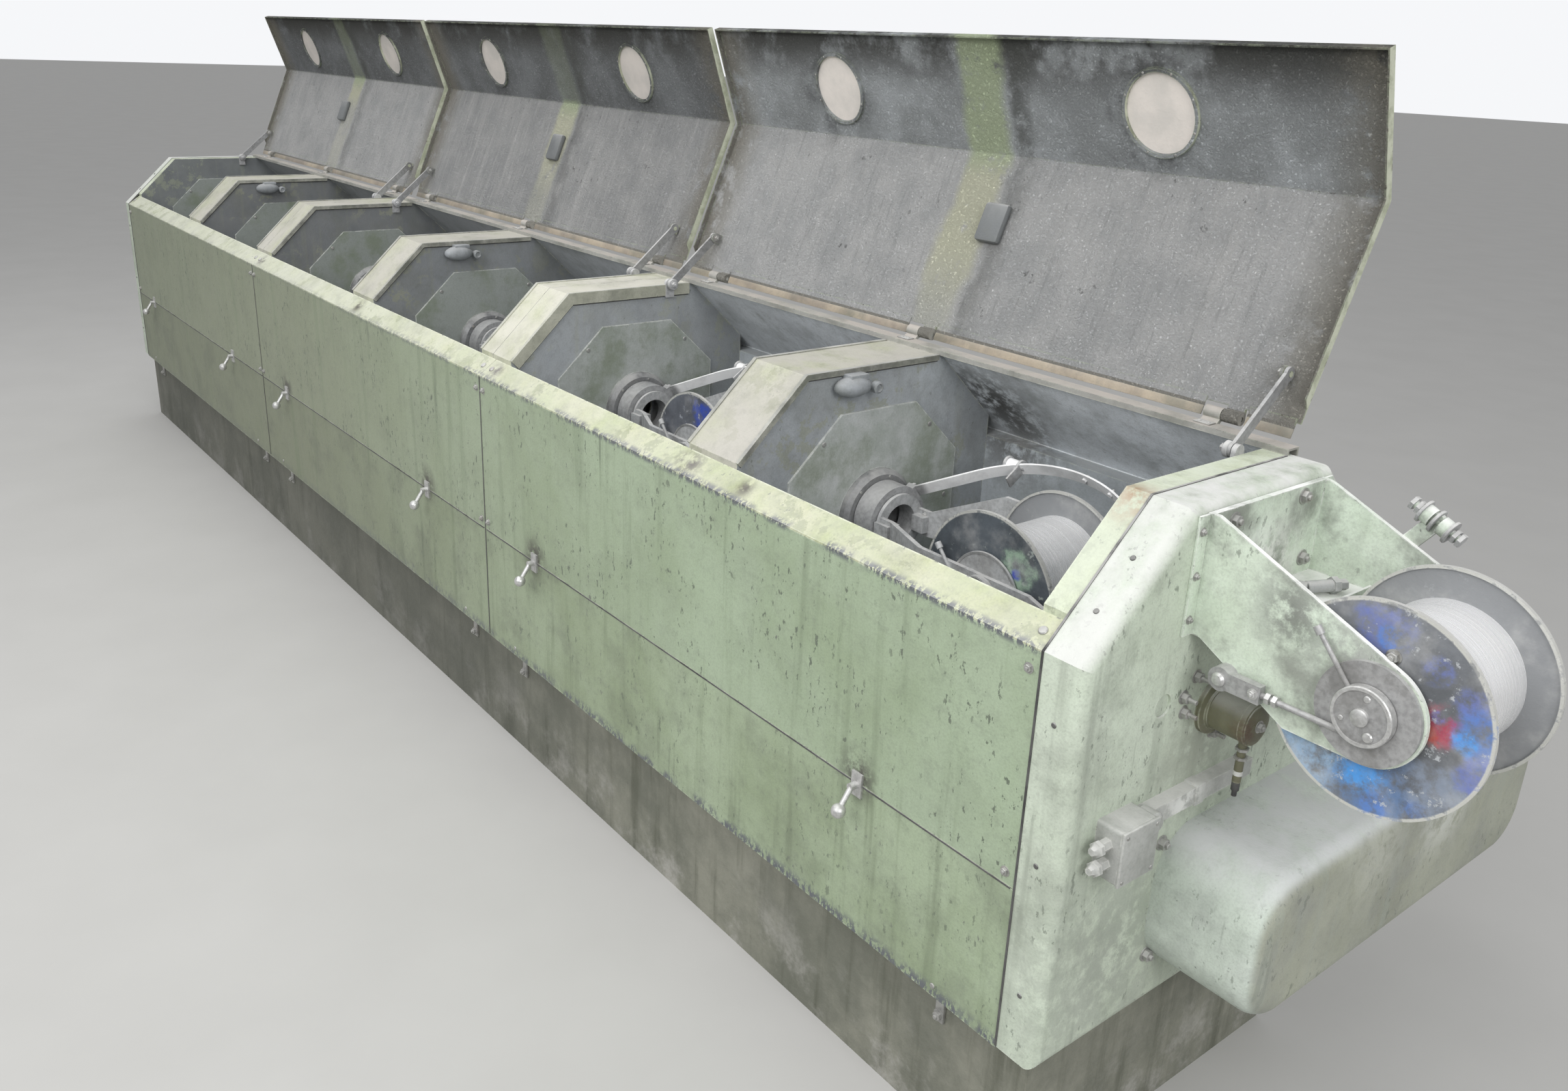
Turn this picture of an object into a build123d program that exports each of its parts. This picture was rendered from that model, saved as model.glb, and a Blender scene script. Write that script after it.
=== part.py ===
from build123d import *
from math import asin, atan2, cos, degrees, radians, sin, tan
import os

# Bow stranding machine: three trough modules of two bays each, one bobbin a bay.
# X runs along the rotor axis towards the pay-off end, -Y is the operator side,
# +Z is up. The origin lies on the floor under the middle of the trough.

# Trough
bay_pitch = 1180.0
bays_per_module = 2
module_count = 3
half_width = 512.0
shoulder_height = 1304.0
crown_half = 242.0
crown_above_rotor = 410.0
wall_depth = 62.0
wall_sheet = 4.0
strip_rise = 44.0
strip_thickness = 4.0
floor_height = 640.0
floor_thickness = 6.0
seam_gap = 2.0

# Plinth and lining panels
plinth_height = 384.0
plinth_recess = 40.0
panel_thickness = 3.0
panel_seam_height = 776.0

# Bulkheads and end walls
bulkhead_depth = 208.0
bulkhead_sheet = 6.0
bulkhead_shift = 30.0
bulkhead_joint_share = 0.4
end_wall_depth = 60.0
wire_way_radius = 60.0
fit_gap = 0.3

# Access plates round the bearings
plate_side_half = 302.0
plate_height_half = 292.0
plate_top_half = 133.0
plate_thickness = 6.0

# End covers
cover_depth = 101.0
cover_edge_radius = 28.0
cover_sheet = 5.0
cover_hole_radius = 25.0
cover_hole_side = -253.0
cover_hole_rise = 6.0

# Rotor
rotor_side = 15.0
rotor_height = 1150.0
running_gap = 0.05
ring_radius = 124.0
ring_length = 33.0
ring_edge = 12.0
neck_radius = 80.0
hub_radius = 98.0
hub_bore_radius = 68.0
hub_length = 64.0
hub_clearance = 3.0
bow_angle = 35.0
bow_top_radius = 325.0
bow_foot_rise = 15.0
bow_foot_inset = 22.0
bow_foot_length = 28.0
bow_slope = 41.0
bow_width = 36.0
bow_thickness = 5.0
guide_boss_angle = -28.2
guide_boss_radius = 16.0
guide_boss_length = 42.0
eyelet_angles = (3.1, 16.2)
eyelet_radius = 7.0
eyelet_height = 16.0

# Cradle
cradle_flange_radius = 80.0
cradle_flange_thickness = 10.0
cradle_bore_radius = 52.0
cradle_journal_length = 48.0
arm_thickness = 12.0
arm_height = 70.0
arm_drop = 5.0
arm_bend_radius = 20.0
front_arm_rise = 52.0
back_arm_rise = 125.0
arm_taper = 70.0
block_size = 44.0
block_length = 42.0
block_side = 64.0
yoke_half = 92.0
yoke_thickness = 12.0
bobbin_end_room = 172.0
bobbin_offset = -20.0
brake_disc_radius = 105.0
brake_disc_thickness = 5.0
brake_cap_radius = 52.0
brake_cap_thickness = 14.0
lever_offset = 69.0
lever_radius = 4.5
lever_length = 100.0
lever_knob_radius = 8.0
lever_lean = 41.0

# Bobbin
flange_radius = 200.0
flange_thickness = 5.0
flange_rim_width = 6.0
flange_rim_depth = 4.0
bobbin_width = 268.0
barrel_radius = 125.0
pintle_radius = 18.0
pintle_head_radius = 26.0
winding_depth = 13.0
bobbin_side_gap = 10.0

# Hinged lids
hinge_reach = 23.0
hinge_rise = 32.0
hinge_radius = 15.0
hinge_pin_radius = 6.0
knuckle_length = 90.0
knuckle_split = 2.0
hinge_count = 3
lid_open_angle = 67.0
lid_bend = 42.0
lid_main_length = 528.0
lid_outer_length = 324.0
lid_sheet = 3.0
lid_lip = 18.0
lid_lip_sheet = 4.0
lid_start = 24.0
lid_lip_start = 75.0
lid_end_gap = 20.0
porthole_radius = 100.0
porthole_rim = 9.0
porthole_rim_height = 8.0
porthole_from_edge = 150.0
rail_overhang = 20.0
rail_width = 37.0
rail_rise = 14.0
rail_sheet = 5.0

# Lid stays
stay_from_hinge = 120.0
stay_offset = 21.0
stay_width = 26.0
stay_thickness = 8.0
stay_eye_radius = 16.0
stay_pin_radius = 7.0
stay_bracket_side = 140.0
stay_bracket_rise = 6.0
stay_bracket_thickness = 12.0
stay_bracket_drop = 46.0
stay_gap = 2.0

# Pay-off bracket and its bobbin
payoff_reach = 364.0
payoff_rise = 145.0
payoff_bobbin_side = -49.0
cheek_gap = 11.0
cheek_span = 400.0
cheek_thickness = 10.0
cheek_tip_radius = 100.0
cheek_foot_rise = 5.0
cheek_shoulder = 23.0
cheek_throat = 218.0
cheek_top_rise = 253.0
mount_plate_thickness = 12.0
shelf_rise = 55.0
shelf_thickness = 8.0
shelf_gap = 14.0
payoff_disc_radius = 95.0
payoff_disc_thickness = 10.0
payoff_cap_thickness = 18.0
roller_arm_width = 34.0
roller_arm_thickness = 12.0
roller_radius = 19.0
roller_length = 58.0
roller_pin_radius = 8.0
roller_tilt = 25.0
roller_arm_foot = 175.0
roller_arm_drop = 105.0
roller_arm_run = 62.0
roller_arm_rise = 82.0
link_radius = 6.0
link_boss_radius = 24.0
link_boss_reach = 94.0
link_drop = 45.0
link_fork_length = 84.0

# Drive guard
guard_depth = 259.0
guard_front = -190.0
guard_length = 1210.0
guard_bottom = 495.0
guard_height = 340.0
guard_corner = 120.0
guard_edge_radius = 45.0
guard_sheet = 5.0

# Small housings on the end cover
housing_side = -78.0
housing_drop = 45.0
housing_radius = 43.0
housing_length = 104.0
sensor_radius = 9.0
sensor_length = 95.0
sensor_from_end = 22.0
box_side = -360.0
box_above_guard = 65.0
box_width = 110.0
box_tall = 120.0
box_depth = 60.0
box_corner = 8.0
duct_width = 40.0
duct_depth = 30.0
duct_end = 70.0
duct_rise = 25.0
gland_pitch = 44.0
gland_radius = 13.0
gland_length = 30.0

# Panel latches
latch_offsets = (470.0, 2010.0)
latch_plate_width = 34.0
latch_plate_height = 60.0
latch_plate_thickness = 6.0
latch_stem_radius = 9.0
latch_stem_length = 26.0
latch_lever_length = 62.0
latch_lever_radius = 7.0
latch_ball_radius = 17.5
latch_lean = 35.0

# Values worked out from those above
bay_count = bays_per_module * module_count
module_length = bay_pitch * bays_per_module
trough_length = module_length * module_count
trough_half = trough_length / 2
crown_height = rotor_height + crown_above_rotor
chamfer_run = half_width - crown_half
chamfer_drop = crown_height - shoulder_height
inner_half = half_width - wall_depth
chamfer_length = (chamfer_run ** 2 + chamfer_drop ** 2) ** 0.5
cover_face = trough_half + cover_depth
pintle_bore_radius = pintle_radius + running_gap
bulkhead_half = bulkhead_depth / 2
arm_path_half = bobbin_width / 2 + bobbin_side_gap + arm_thickness / 2
assembly_length = bay_pitch - bulkhead_depth - bulkhead_shift
bobbin_from_face = assembly_length - flange_radius - bobbin_end_room
bow_foot_radius = hub_radius + bow_foot_rise
rail_back = crown_half + rail_overhang
rail_front = rail_back - rail_width
rail_top = crown_height + rail_rise
hinge_side = rail_back + hinge_reach
hinge_height = crown_height + hinge_rise
stay_bracket_height = crown_height + stay_bracket_rise
cover_hole_height = rotor_height + cover_hole_rise
housing_height = rotor_height - housing_drop
payoff_height = rotor_height + payoff_rise
cheek_front = payoff_bobbin_side - bobbin_width / 2 - cheek_gap - cheek_thickness
cheek_back = cheek_front + cheek_span
cheek_foot = payoff_height + cheek_foot_rise
cheek_top = payoff_height + cheek_top_rise
shelf_height = payoff_height + shelf_rise
shelf_reach = payoff_reach - flange_radius - shelf_gap
link_height = payoff_height - link_drop
guard_back = guard_front + guard_length
guard_top = guard_bottom + guard_height
box_height = guard_top + box_above_guard

os.makedirs("parts", exist_ok=True)


def save(part, label):
    part.label = label
    export_step(part, "parts/" + label + ".step")


def chamfer_z(side, inset=0.0):
    """Height of the sloping wall, moved square inwards by inset, at a distance from the middle."""
    return crown_height - ((side - crown_half) * chamfer_drop + inset * chamfer_length) / chamfer_run


def bulkhead_centre(number):
    """Place of bulkhead 0 to bay_count along X: those inside a module stand a little off the pitch."""
    shift = bulkhead_shift if number % bays_per_module else 0.0
    return -trough_half + number * bay_pitch + shift


def bay_left(number):
    """Face that carries the left end of the rotor in bay 1 to bay_count."""
    if number == 1:
        return -trough_half + end_wall_depth
    return bulkhead_centre(number - 1) + bulkhead_half


def bay_right(number):
    if number == bay_count:
        return trough_half - end_wall_depth
    return bulkhead_centre(number) - bulkhead_half


def rotor_start(number):
    """Left end of the rotor assembly, at one distance from the bulkhead in every bay."""
    if number == 1:
        return bay_right(1) - assembly_length
    return bay_left(number)


# Plinth: one mass of masonry
with BuildPart() as plinth:
    with BuildSketch(Plane.YZ.offset(-trough_half - cover_depth + plinth_recess)):
        with Locations((0, plinth_height / 2)):
            Rectangle(2 * (half_width - plinth_recess), plinth_height)
    extrude(amount=2 * (trough_half + cover_depth - plinth_recess))
save(plinth.part, "plinth")

# Front and back wall boxes, hollow sections along the whole trough
wall_outer = half_width - panel_thickness
wall_top = shoulder_height - strip_thickness
for wall_name, direction in (("front_wall", -1), ("back_wall", 1)):
    with BuildPart() as wall:
        with BuildSketch(Plane.YZ.offset(-trough_half)):
            with Locations((direction * (wall_outer + inner_half) / 2, (wall_top + plinth_height) / 2)):
                Rectangle(wall_outer - inner_half, wall_top - plinth_height)
                Rectangle(wall_outer - inner_half - 2 * wall_sheet, wall_top - plinth_height - 2 * wall_sheet,
                          mode=Mode.SUBTRACT)
        extrude(amount=trough_length)
    save(wall.part, wall_name)

# Upper and lower panels: a module has one of each
panel_length = module_length - seam_gap
module_middles = [-trough_half + (number + 0.5) * module_length for number in range(module_count)]
for panel_name, panel_low, panel_high in (
        ("upper_front_panels", panel_seam_height + seam_gap, shoulder_height - strip_thickness),
        ("lower_front_panels", plinth_height, panel_seam_height)):
    with BuildPart() as panels:
        with BuildSketch(Plane.XZ.offset(wall_outer)):
            for middle in module_middles:
                with Locations((middle, (panel_low + panel_high) / 2)):
                    Rectangle(panel_length, panel_high - panel_low)
        extrude(amount=panel_thickness)
    save(panels.part, panel_name)

# Sloping strips that cap the front wall, bent down over its outer edge
with BuildPart() as strips:
    for middle in module_middles:
        with BuildSketch(Plane.YZ.offset(middle - panel_length / 2)):
            with BuildLine():
                Polyline(
                    (-half_width, wall_top),
                    (-half_width, shoulder_height),
                    (-inner_half, shoulder_height + strip_rise),
                    (-inner_half, wall_top),
                    (-inner_half - strip_thickness, wall_top),
                    (-inner_half - strip_thickness, shoulder_height + strip_rise - 2 * strip_thickness),
                    (-half_width + strip_thickness, wall_top),
                    close=True)
            make_face()
        extrude(amount=panel_length)
save(strips.part, "top_strips")

# Back panel and sloping back cover, one bent sheet along the trough
with BuildPart() as back_cover:
    with BuildSketch(Plane.YZ.offset(-trough_half)):
        with BuildLine():
            Polyline(
                (half_width, plinth_height),
                (half_width, shoulder_height),
                (crown_half, crown_height),
                (crown_half, chamfer_z(crown_half, panel_thickness)),
                (wall_outer, chamfer_z(wall_outer, panel_thickness)),
                (wall_outer, plinth_height),
                close=True)
        make_face()
    extrude(amount=trough_length)
save(back_cover.part, "back_cover")

# Trough floor
with BuildPart() as trough_floor:
    with BuildSketch(Plane.XY.offset(floor_height)):
        Rectangle(trough_length - 2 * end_wall_depth, 2 * inner_half)
    extrude(amount=floor_thickness)
save(trough_floor.part, "trough_floor")


def bulkhead_points(inset):
    """Corners of a bulkhead in the YZ plane, moved inwards by inset."""
    corner_share = (chamfer_length - chamfer_run) / chamfer_drop
    low = floor_height + floor_thickness + inset
    high = crown_height - inset
    side = inner_half - inset
    back_inset = inset + panel_thickness
    back_crown = crown_half + (inset * chamfer_run - back_inset * chamfer_length) / chamfer_drop
    return [
        (-side, low),
        (-side, chamfer_z(side, inset)),
        (-crown_half + inset * corner_share, high),
        (back_crown, high),
        (side, chamfer_z(side, back_inset)),
        (side, low)]


def build_box(start, depth):
    """Hollow sheet-metal box with the wire way through both faces."""
    with BuildPart() as box:
        with BuildSketch(Plane.YZ.offset(start)):
            with BuildLine():
                Polyline(*bulkhead_points(0.0), close=True)
            make_face()
        extrude(amount=depth)
        with BuildSketch(Plane.YZ.offset(start + bulkhead_sheet)):
            with BuildLine():
                Polyline(*bulkhead_points(bulkhead_sheet), close=True)
            make_face()
        extrude(amount=depth - 2 * bulkhead_sheet, mode=Mode.SUBTRACT)
        with BuildSketch(Plane.YZ.offset(start)):
            with Locations((rotor_side, rotor_height)):
                Circle(wire_way_radius)
        extrude(amount=depth, mode=Mode.SUBTRACT)
    return box.part


for number in range(1, bay_count):
    start = bulkhead_centre(number) - bulkhead_half
    if number % bays_per_module:
        save(build_box(start, bulkhead_depth), "bulkhead_" + str(number))
    else:
        first_depth = bulkhead_depth * bulkhead_joint_share
        first = build_box(start, first_depth - seam_gap / 2)
        second = build_box(start + first_depth + seam_gap / 2, bulkhead_depth - first_depth - seam_gap / 2)
        save(Compound(children=[first, second]), "bulkhead_" + str(number))

near_wall = build_box(trough_half - end_wall_depth, end_wall_depth)
far_wall = build_box(-trough_half, end_wall_depth)
save(Compound(children=[far_wall, near_wall]), "end_walls")


def build_plate(face):
    """Eight-sided access plate round a bearing ring."""
    with BuildPart() as plate:
        with BuildSketch(Plane.YZ.offset(face)):
            with BuildLine():
                Polyline(
                    (rotor_side - plate_side_half, rotor_height - plate_top_half),
                    (rotor_side - plate_side_half, rotor_height + plate_top_half),
                    (rotor_side - plate_top_half, rotor_height + plate_height_half),
                    (rotor_side + plate_top_half, rotor_height + plate_height_half),
                    (rotor_side + plate_side_half, rotor_height + plate_top_half),
                    (rotor_side + plate_side_half, rotor_height - plate_top_half),
                    (rotor_side + plate_top_half, rotor_height - plate_height_half),
                    (rotor_side - plate_top_half, rotor_height - plate_height_half),
                    close=True)
            make_face()
            with Locations((rotor_side, rotor_height)):
                Circle(ring_radius + fit_gap, mode=Mode.SUBTRACT)
        extrude(amount=plate_thickness)
    return plate.part


plates = [build_plate(bay_left(number)) for number in range(1, bay_count + 1)]
save(Compound(children=plates), "access_plates")


def build_ring(face, length):
    """Bearing ring that stands on a wall face, its outer edge rounded; length is signed."""
    with BuildPart() as ring:
        with BuildSketch(Plane.YZ.offset(face)):
            with Locations((rotor_side, rotor_height)):
                Circle(ring_radius)
                Circle(neck_radius + running_gap, mode=Mode.SUBTRACT)
        extrude(amount=length)
        tip = ring.faces().sort_by(Axis.X)[-1 if length > 0 else 0]
        chamfer(tip.edges().sort_by(SortBy.LENGTH)[-1], ring_edge)
    return ring.part


ring_solids = []
for number in range(1, bay_count + 1):
    start = rotor_start(number)
    left_length = start + ring_length - bay_left(number)
    right_length = bay_right(number) - (start + assembly_length - ring_length)
    ring_solids.append(build_ring(bay_left(number), left_length))
    ring_solids.append(build_ring(bay_right(number), -right_length))
save(Compound(children=ring_solids), "bearing_rings")


def build_end_cover(direction):
    """Dished end cover with rounded edges; direction is 1 at the pay-off end."""
    base = direction * trough_half
    with BuildPart() as cover:
        with BuildSketch(Plane.YZ.offset(base)):
            with BuildLine():
                Polyline(
                    (-half_width, plinth_height + 2 * seam_gap),
                    (-half_width, shoulder_height),
                    (-crown_half, crown_height),
                    (crown_half, crown_height),
                    (half_width, shoulder_height),
                    (half_width, plinth_height + 2 * seam_gap),
                    close=True)
            make_face()
            outline = offset(amount=0, mode=Mode.PRIVATE)
        extrude(amount=direction * cover_depth)
        tip = cover.faces().sort_by(Axis.X)[-1 if direction > 0 else 0]
        fillet(tip.edges(), cover_edge_radius)
        with BuildSketch(Plane.YZ.offset(base)):
            offset(outline, amount=-cover_sheet, mode=Mode.ADD)
        extrude(amount=direction * (cover_depth - cover_edge_radius), mode=Mode.SUBTRACT)
        with BuildSketch(Plane.YZ.offset(base)):
            offset(outline, amount=-cover_edge_radius, mode=Mode.ADD)
        extrude(amount=direction * (cover_depth - cover_sheet), mode=Mode.SUBTRACT)
        if direction > 0:
            with BuildSketch(Plane.YZ.offset(base)):
                with Locations((cover_hole_side, cover_hole_height)):
                    Circle(cover_hole_radius)
            extrude(amount=cover_depth, mode=Mode.SUBTRACT)
    return cover.part


save(build_end_cover(1), "near_end_cover")
save(build_end_cover(-1), "far_end_cover")


def radial_plane(angle):
    """Plane that holds the rotor axis and the direction at an angle above +Y."""
    return Plane(origin=(0, rotor_side, rotor_height), x_dir=(1, 0, 0),
                 z_dir=(0, -sin(radians(angle)), cos(radians(angle))))


def build_hub(neck_end, neck_start, sleeve_end, foot):
    """Bored hub sleeve with its neck and a clamp block for each bow; foot is the middle of the bows' feet."""
    with BuildPart() as hub:
        for radius, first, last in ((neck_radius, neck_end, neck_start),
                                    (hub_radius, neck_start, sleeve_end)):
            with BuildSketch(Plane.YZ.offset(first)):
                with Locations((rotor_side, rotor_height)):
                    Circle(radius)
            extrude(amount=last - first)
        block_low = (hub_bore_radius + hub_radius) / 2
        block_high = bow_foot_radius - bow_thickness / 2
        for angle in (bow_angle, bow_angle + 180):
            with BuildSketch(radial_plane(angle)):
                with Locations((foot, (block_low + block_high) / 2)):
                    Rectangle(bow_foot_length, block_high - block_low)
            extrude(amount=bow_width / 2, both=True)
        with BuildSketch(Plane.YZ.offset(neck_end)):
            with Locations((rotor_side, rotor_height)):
                Circle(hub_bore_radius)
        extrude(amount=sleeve_end - neck_end, mode=Mode.SUBTRACT)
    return hub.part


def build_bow(left_foot, right_foot, angle):
    """Bow bent from flat strip, with flat feet, a guide boss and two wire eyelets on its back."""
    middle = (left_foot + right_foot) / 2
    reach = (right_foot - left_foot) / 2
    slope = radians(bow_slope)
    knee = (bow_foot_radius + reach * tan(slope) - bow_top_radius) / (tan(slope) - tan(slope / 2))
    knee_radius = bow_foot_radius + (reach - knee) * tan(slope)
    curve = knee / sin(slope)
    out_y = cos(radians(angle))
    out_z = sin(radians(angle))
    left_knee = (middle - knee, knee_radius)
    right_knee = (middle + knee, knee_radius)
    with BuildPart() as bow:
        with BuildSketch(radial_plane(angle)):
            with BuildLine():
                Line((left_foot - bow_foot_length, bow_foot_radius), (left_foot, bow_foot_radius))
                Line((left_foot, bow_foot_radius), left_knee)
                ThreePointArc(left_knee, (middle, bow_top_radius), right_knee)
                Line(right_knee, (right_foot, bow_foot_radius))
                Line((right_foot, bow_foot_radius), (right_foot + bow_foot_length, bow_foot_radius))
            trace(line_width=bow_thickness)
        extrude(amount=bow_width / 2, both=True)
        boss_radius = bow_top_radius - curve + curve * cos(radians(guide_boss_angle)) + guide_boss_radius
        boss_at = middle + curve * sin(radians(guide_boss_angle))
        with BuildSketch(Plane.YZ.offset(boss_at - guide_boss_length / 2)):
            with Locations((rotor_side + boss_radius * out_y, rotor_height + boss_radius * out_z)):
                Circle(guide_boss_radius)
        extrude(amount=guide_boss_length)
        for eyelet_angle in eyelet_angles:
            place_x = middle + curve * sin(radians(eyelet_angle))
            foot = bow_top_radius - curve + curve * cos(radians(eyelet_angle))
            place = (place_x, rotor_side + foot * out_y, rotor_height + foot * out_z)
            with BuildSketch(Plane(origin=place, x_dir=(1, 0, 0), z_dir=(0, out_y, out_z))):
                RegularPolygon(eyelet_radius, 6)
            extrude(amount=eyelet_height / 2, both=True)
    return bow.part


def build_rotor(start):
    """Two hub sleeves joined by two opposite bows."""
    end = start + assembly_length
    left_hub = start + ring_length + hub_clearance
    right_hub = end - ring_length - hub_clearance
    left_foot = left_hub + hub_length - bow_foot_inset
    right_foot = right_hub - hub_length + bow_foot_inset + hub_clearance
    return Compound(children=[
        build_hub(start + hub_clearance, left_hub, left_hub + hub_length, left_foot - bow_foot_length / 2),
        build_hub(end - hub_clearance, right_hub, right_hub - hub_length, right_foot + bow_foot_length / 2),
        build_bow(left_foot, right_foot, bow_angle),
        build_bow(left_foot, right_foot, bow_angle + 180)])


def build_cradle(start):
    """Bobbin carrier: two journals, two bent side arms, a pintle pair and the brake."""
    journal_radius = hub_bore_radius - running_gap
    left_face = start + ring_length + 2 * hub_clearance + hub_length
    right_face = start + assembly_length - ring_length - 2 * hub_clearance - hub_length
    block_end = left_face + cradle_flange_thickness + block_length
    yoke_start = right_face - cradle_flange_thickness - yoke_thickness
    centre = start + bobbin_from_face
    straight_end = centre + flange_radius + bobbin_side_gap
    straight_start = centre - flange_radius - bobbin_side_gap
    arm_base = rotor_height - arm_drop - arm_height / 2
    arm_top = arm_base + arm_height
    with BuildPart() as cradle:
        for first, last in ((left_face - cradle_journal_length, left_face),
                            (right_face, right_face + cradle_journal_length)):
            with BuildSketch(Plane.YZ.offset(first)):
                with Locations((rotor_side, rotor_height)):
                    Circle(journal_radius)
            extrude(amount=last - first)
        for first, last in ((left_face, left_face + cradle_flange_thickness),
                            (right_face - cradle_flange_thickness, right_face)):
            with BuildSketch(Plane.YZ.offset(first)):
                with Locations((rotor_side, rotor_height)):
                    Circle(cradle_flange_radius)
            extrude(amount=last - first)
        with BuildSketch(Plane.YZ.offset(yoke_start)):
            with Locations((rotor_side, rotor_height - arm_drop)):
                Rectangle(2 * yoke_half, arm_height)
        extrude(amount=yoke_thickness)
        with BuildSketch(Plane.YZ.offset(left_face)):
            for side in (-block_side, block_side):
                with Locations((rotor_side + side, rotor_height - arm_drop)):
                    Rectangle(block_size, block_size)
        extrude(amount=block_end - left_face)
        for direction, rise in ((-1, front_arm_rise), (1, back_arm_rise)):
            hub_side = rotor_side + direction * (block_side + arm_thickness / 2)
            arm_side = rotor_side + bobbin_offset + direction * arm_path_half
            yoke_side = rotor_side + direction * (yoke_half - arm_thickness / 2)
            with BuildPart(mode=Mode.PRIVATE) as arm:
                with BuildSketch(Plane.XY.offset(arm_base)):
                    with BuildLine():
                        FilletPolyline(
                            (left_face + cradle_flange_thickness, hub_side),
                            (block_end, hub_side),
                            (straight_start, arm_side),
                            (straight_end, arm_side),
                            (yoke_start + yoke_thickness / 2, yoke_side),
                            radius=arm_bend_radius)
                    trace(line_width=arm_thickness)
                extrude(amount=rotor_height + rise - arm_base)
                with BuildSketch(Plane.XZ.offset(-rotor_side)):
                    with BuildLine():
                        Polyline(
                            (left_face, arm_base),
                            (left_face, arm_top),
                            (block_end, arm_top),
                            (straight_start, rotor_height + rise),
                            (straight_end - arm_taper, rotor_height + rise),
                            (straight_end, arm_top),
                            (right_face, arm_top),
                            (right_face, arm_base),
                            close=True)
                    make_face()
                extrude(amount=bobbin_width, both=True, mode=Mode.INTERSECT)
            add(arm.part)
            pintle_plane = Plane(origin=(centre, arm_side, rotor_height), x_dir=(1, 0, 0),
                                 z_dir=(0, -direction, 0))
            with BuildSketch(pintle_plane.offset(-arm_thickness / 2)):
                Circle(pintle_head_radius)
            extrude(amount=arm_thickness + bobbin_side_gap - hub_clearance)
            with BuildSketch(pintle_plane):
                Circle(pintle_radius)
            extrude(amount=arm_thickness / 2 + bobbin_side_gap + 2 * pintle_radius)
        cap_side = rotor_side + bobbin_offset - arm_path_half - arm_thickness / 2
        for side, radius, thickness in (
                (cap_side, brake_cap_radius, brake_cap_thickness),
                (cap_side + arm_thickness + brake_disc_thickness, brake_disc_radius, brake_disc_thickness)):
            with BuildSketch(Plane.XZ.offset(-side)):
                with Locations((centre, rotor_height)):
                    Circle(radius)
            extrude(amount=thickness)
        lever_direction = (-sin(radians(lever_lean)), 0, cos(radians(lever_lean)))
        lever_plane = Plane(origin=(centre - lever_offset, cap_side - lever_radius / 2, rotor_height),
                            x_dir=(0, 1, 0), z_dir=lever_direction)
        with BuildSketch(lever_plane):
            Circle(lever_radius)
        extrude(amount=lever_length)
        with BuildSketch(lever_plane.offset(lever_length)):
            Circle(lever_knob_radius)
        extrude(amount=2 * lever_knob_radius)
        for first, last in ((left_face - cradle_journal_length, left_face + cradle_flange_thickness),
                            (yoke_start, right_face + cradle_journal_length)):
            with BuildSketch(Plane.YZ.offset(first)):
                with Locations((rotor_side, rotor_height)):
                    Circle(cradle_bore_radius)
            extrude(amount=last - first, mode=Mode.SUBTRACT)
    return cradle.part


def build_bobbin(centre_x, centre_y, centre_z):
    """Steel bobbin with rolled flange rims and a plain bore."""
    half = bobbin_width / 2
    inner = half - flange_thickness
    with BuildPart() as bobbin:
        with BuildSketch(Plane(origin=(centre_x, centre_y, centre_z), x_dir=(1, 0, 0), z_dir=(0, 0, 1))):
            with BuildLine():
                Polyline(
                    (pintle_bore_radius, -half),
                    (flange_radius, -half),
                    (flange_radius, -inner + flange_rim_depth),
                    (flange_radius - flange_rim_width, -inner + flange_rim_depth),
                    (flange_radius - flange_rim_width, -inner),
                    (barrel_radius, -inner),
                    (barrel_radius, inner),
                    (flange_radius - flange_rim_width, inner),
                    (flange_radius - flange_rim_width, inner - flange_rim_depth),
                    (flange_radius, inner - flange_rim_depth),
                    (flange_radius, half),
                    (pintle_bore_radius, half),
                    close=True)
            make_face()
        revolve(axis=Axis((centre_x, centre_y, centre_z), (0, 1, 0)))
    return bobbin.part


def build_winding(centre_x, centre_y, centre_z):
    """Wire wound on the barrel, wall to wall between the flanges."""
    half = bobbin_width / 2 - flange_thickness
    with BuildPart() as winding:
        with BuildSketch(Plane.XZ.offset(-centre_y)):
            with Locations((centre_x, centre_z)):
                Circle(barrel_radius + winding_depth)
                Circle(barrel_radius + fit_gap, mode=Mode.SUBTRACT)
        extrude(amount=half, both=True)
    return winding.part


for number in range(1, bay_count + 1):
    start = rotor_start(number)
    centre = start + bobbin_from_face
    save(build_rotor(start), "rotor_" + str(number))
    save(build_cradle(start), "cradle_" + str(number))
    save(build_bobbin(centre, rotor_side + bobbin_offset, rotor_height), "bobbin_" + str(number))
    save(build_winding(centre, rotor_side + bobbin_offset, rotor_height), "wire_" + str(number))

payoff_x = cover_face + payoff_reach
save(build_bobbin(payoff_x, payoff_bobbin_side, payoff_height), "payoff_bobbin")
save(build_winding(payoff_x, payoff_bobbin_side, payoff_height), "payoff_wire")

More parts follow.
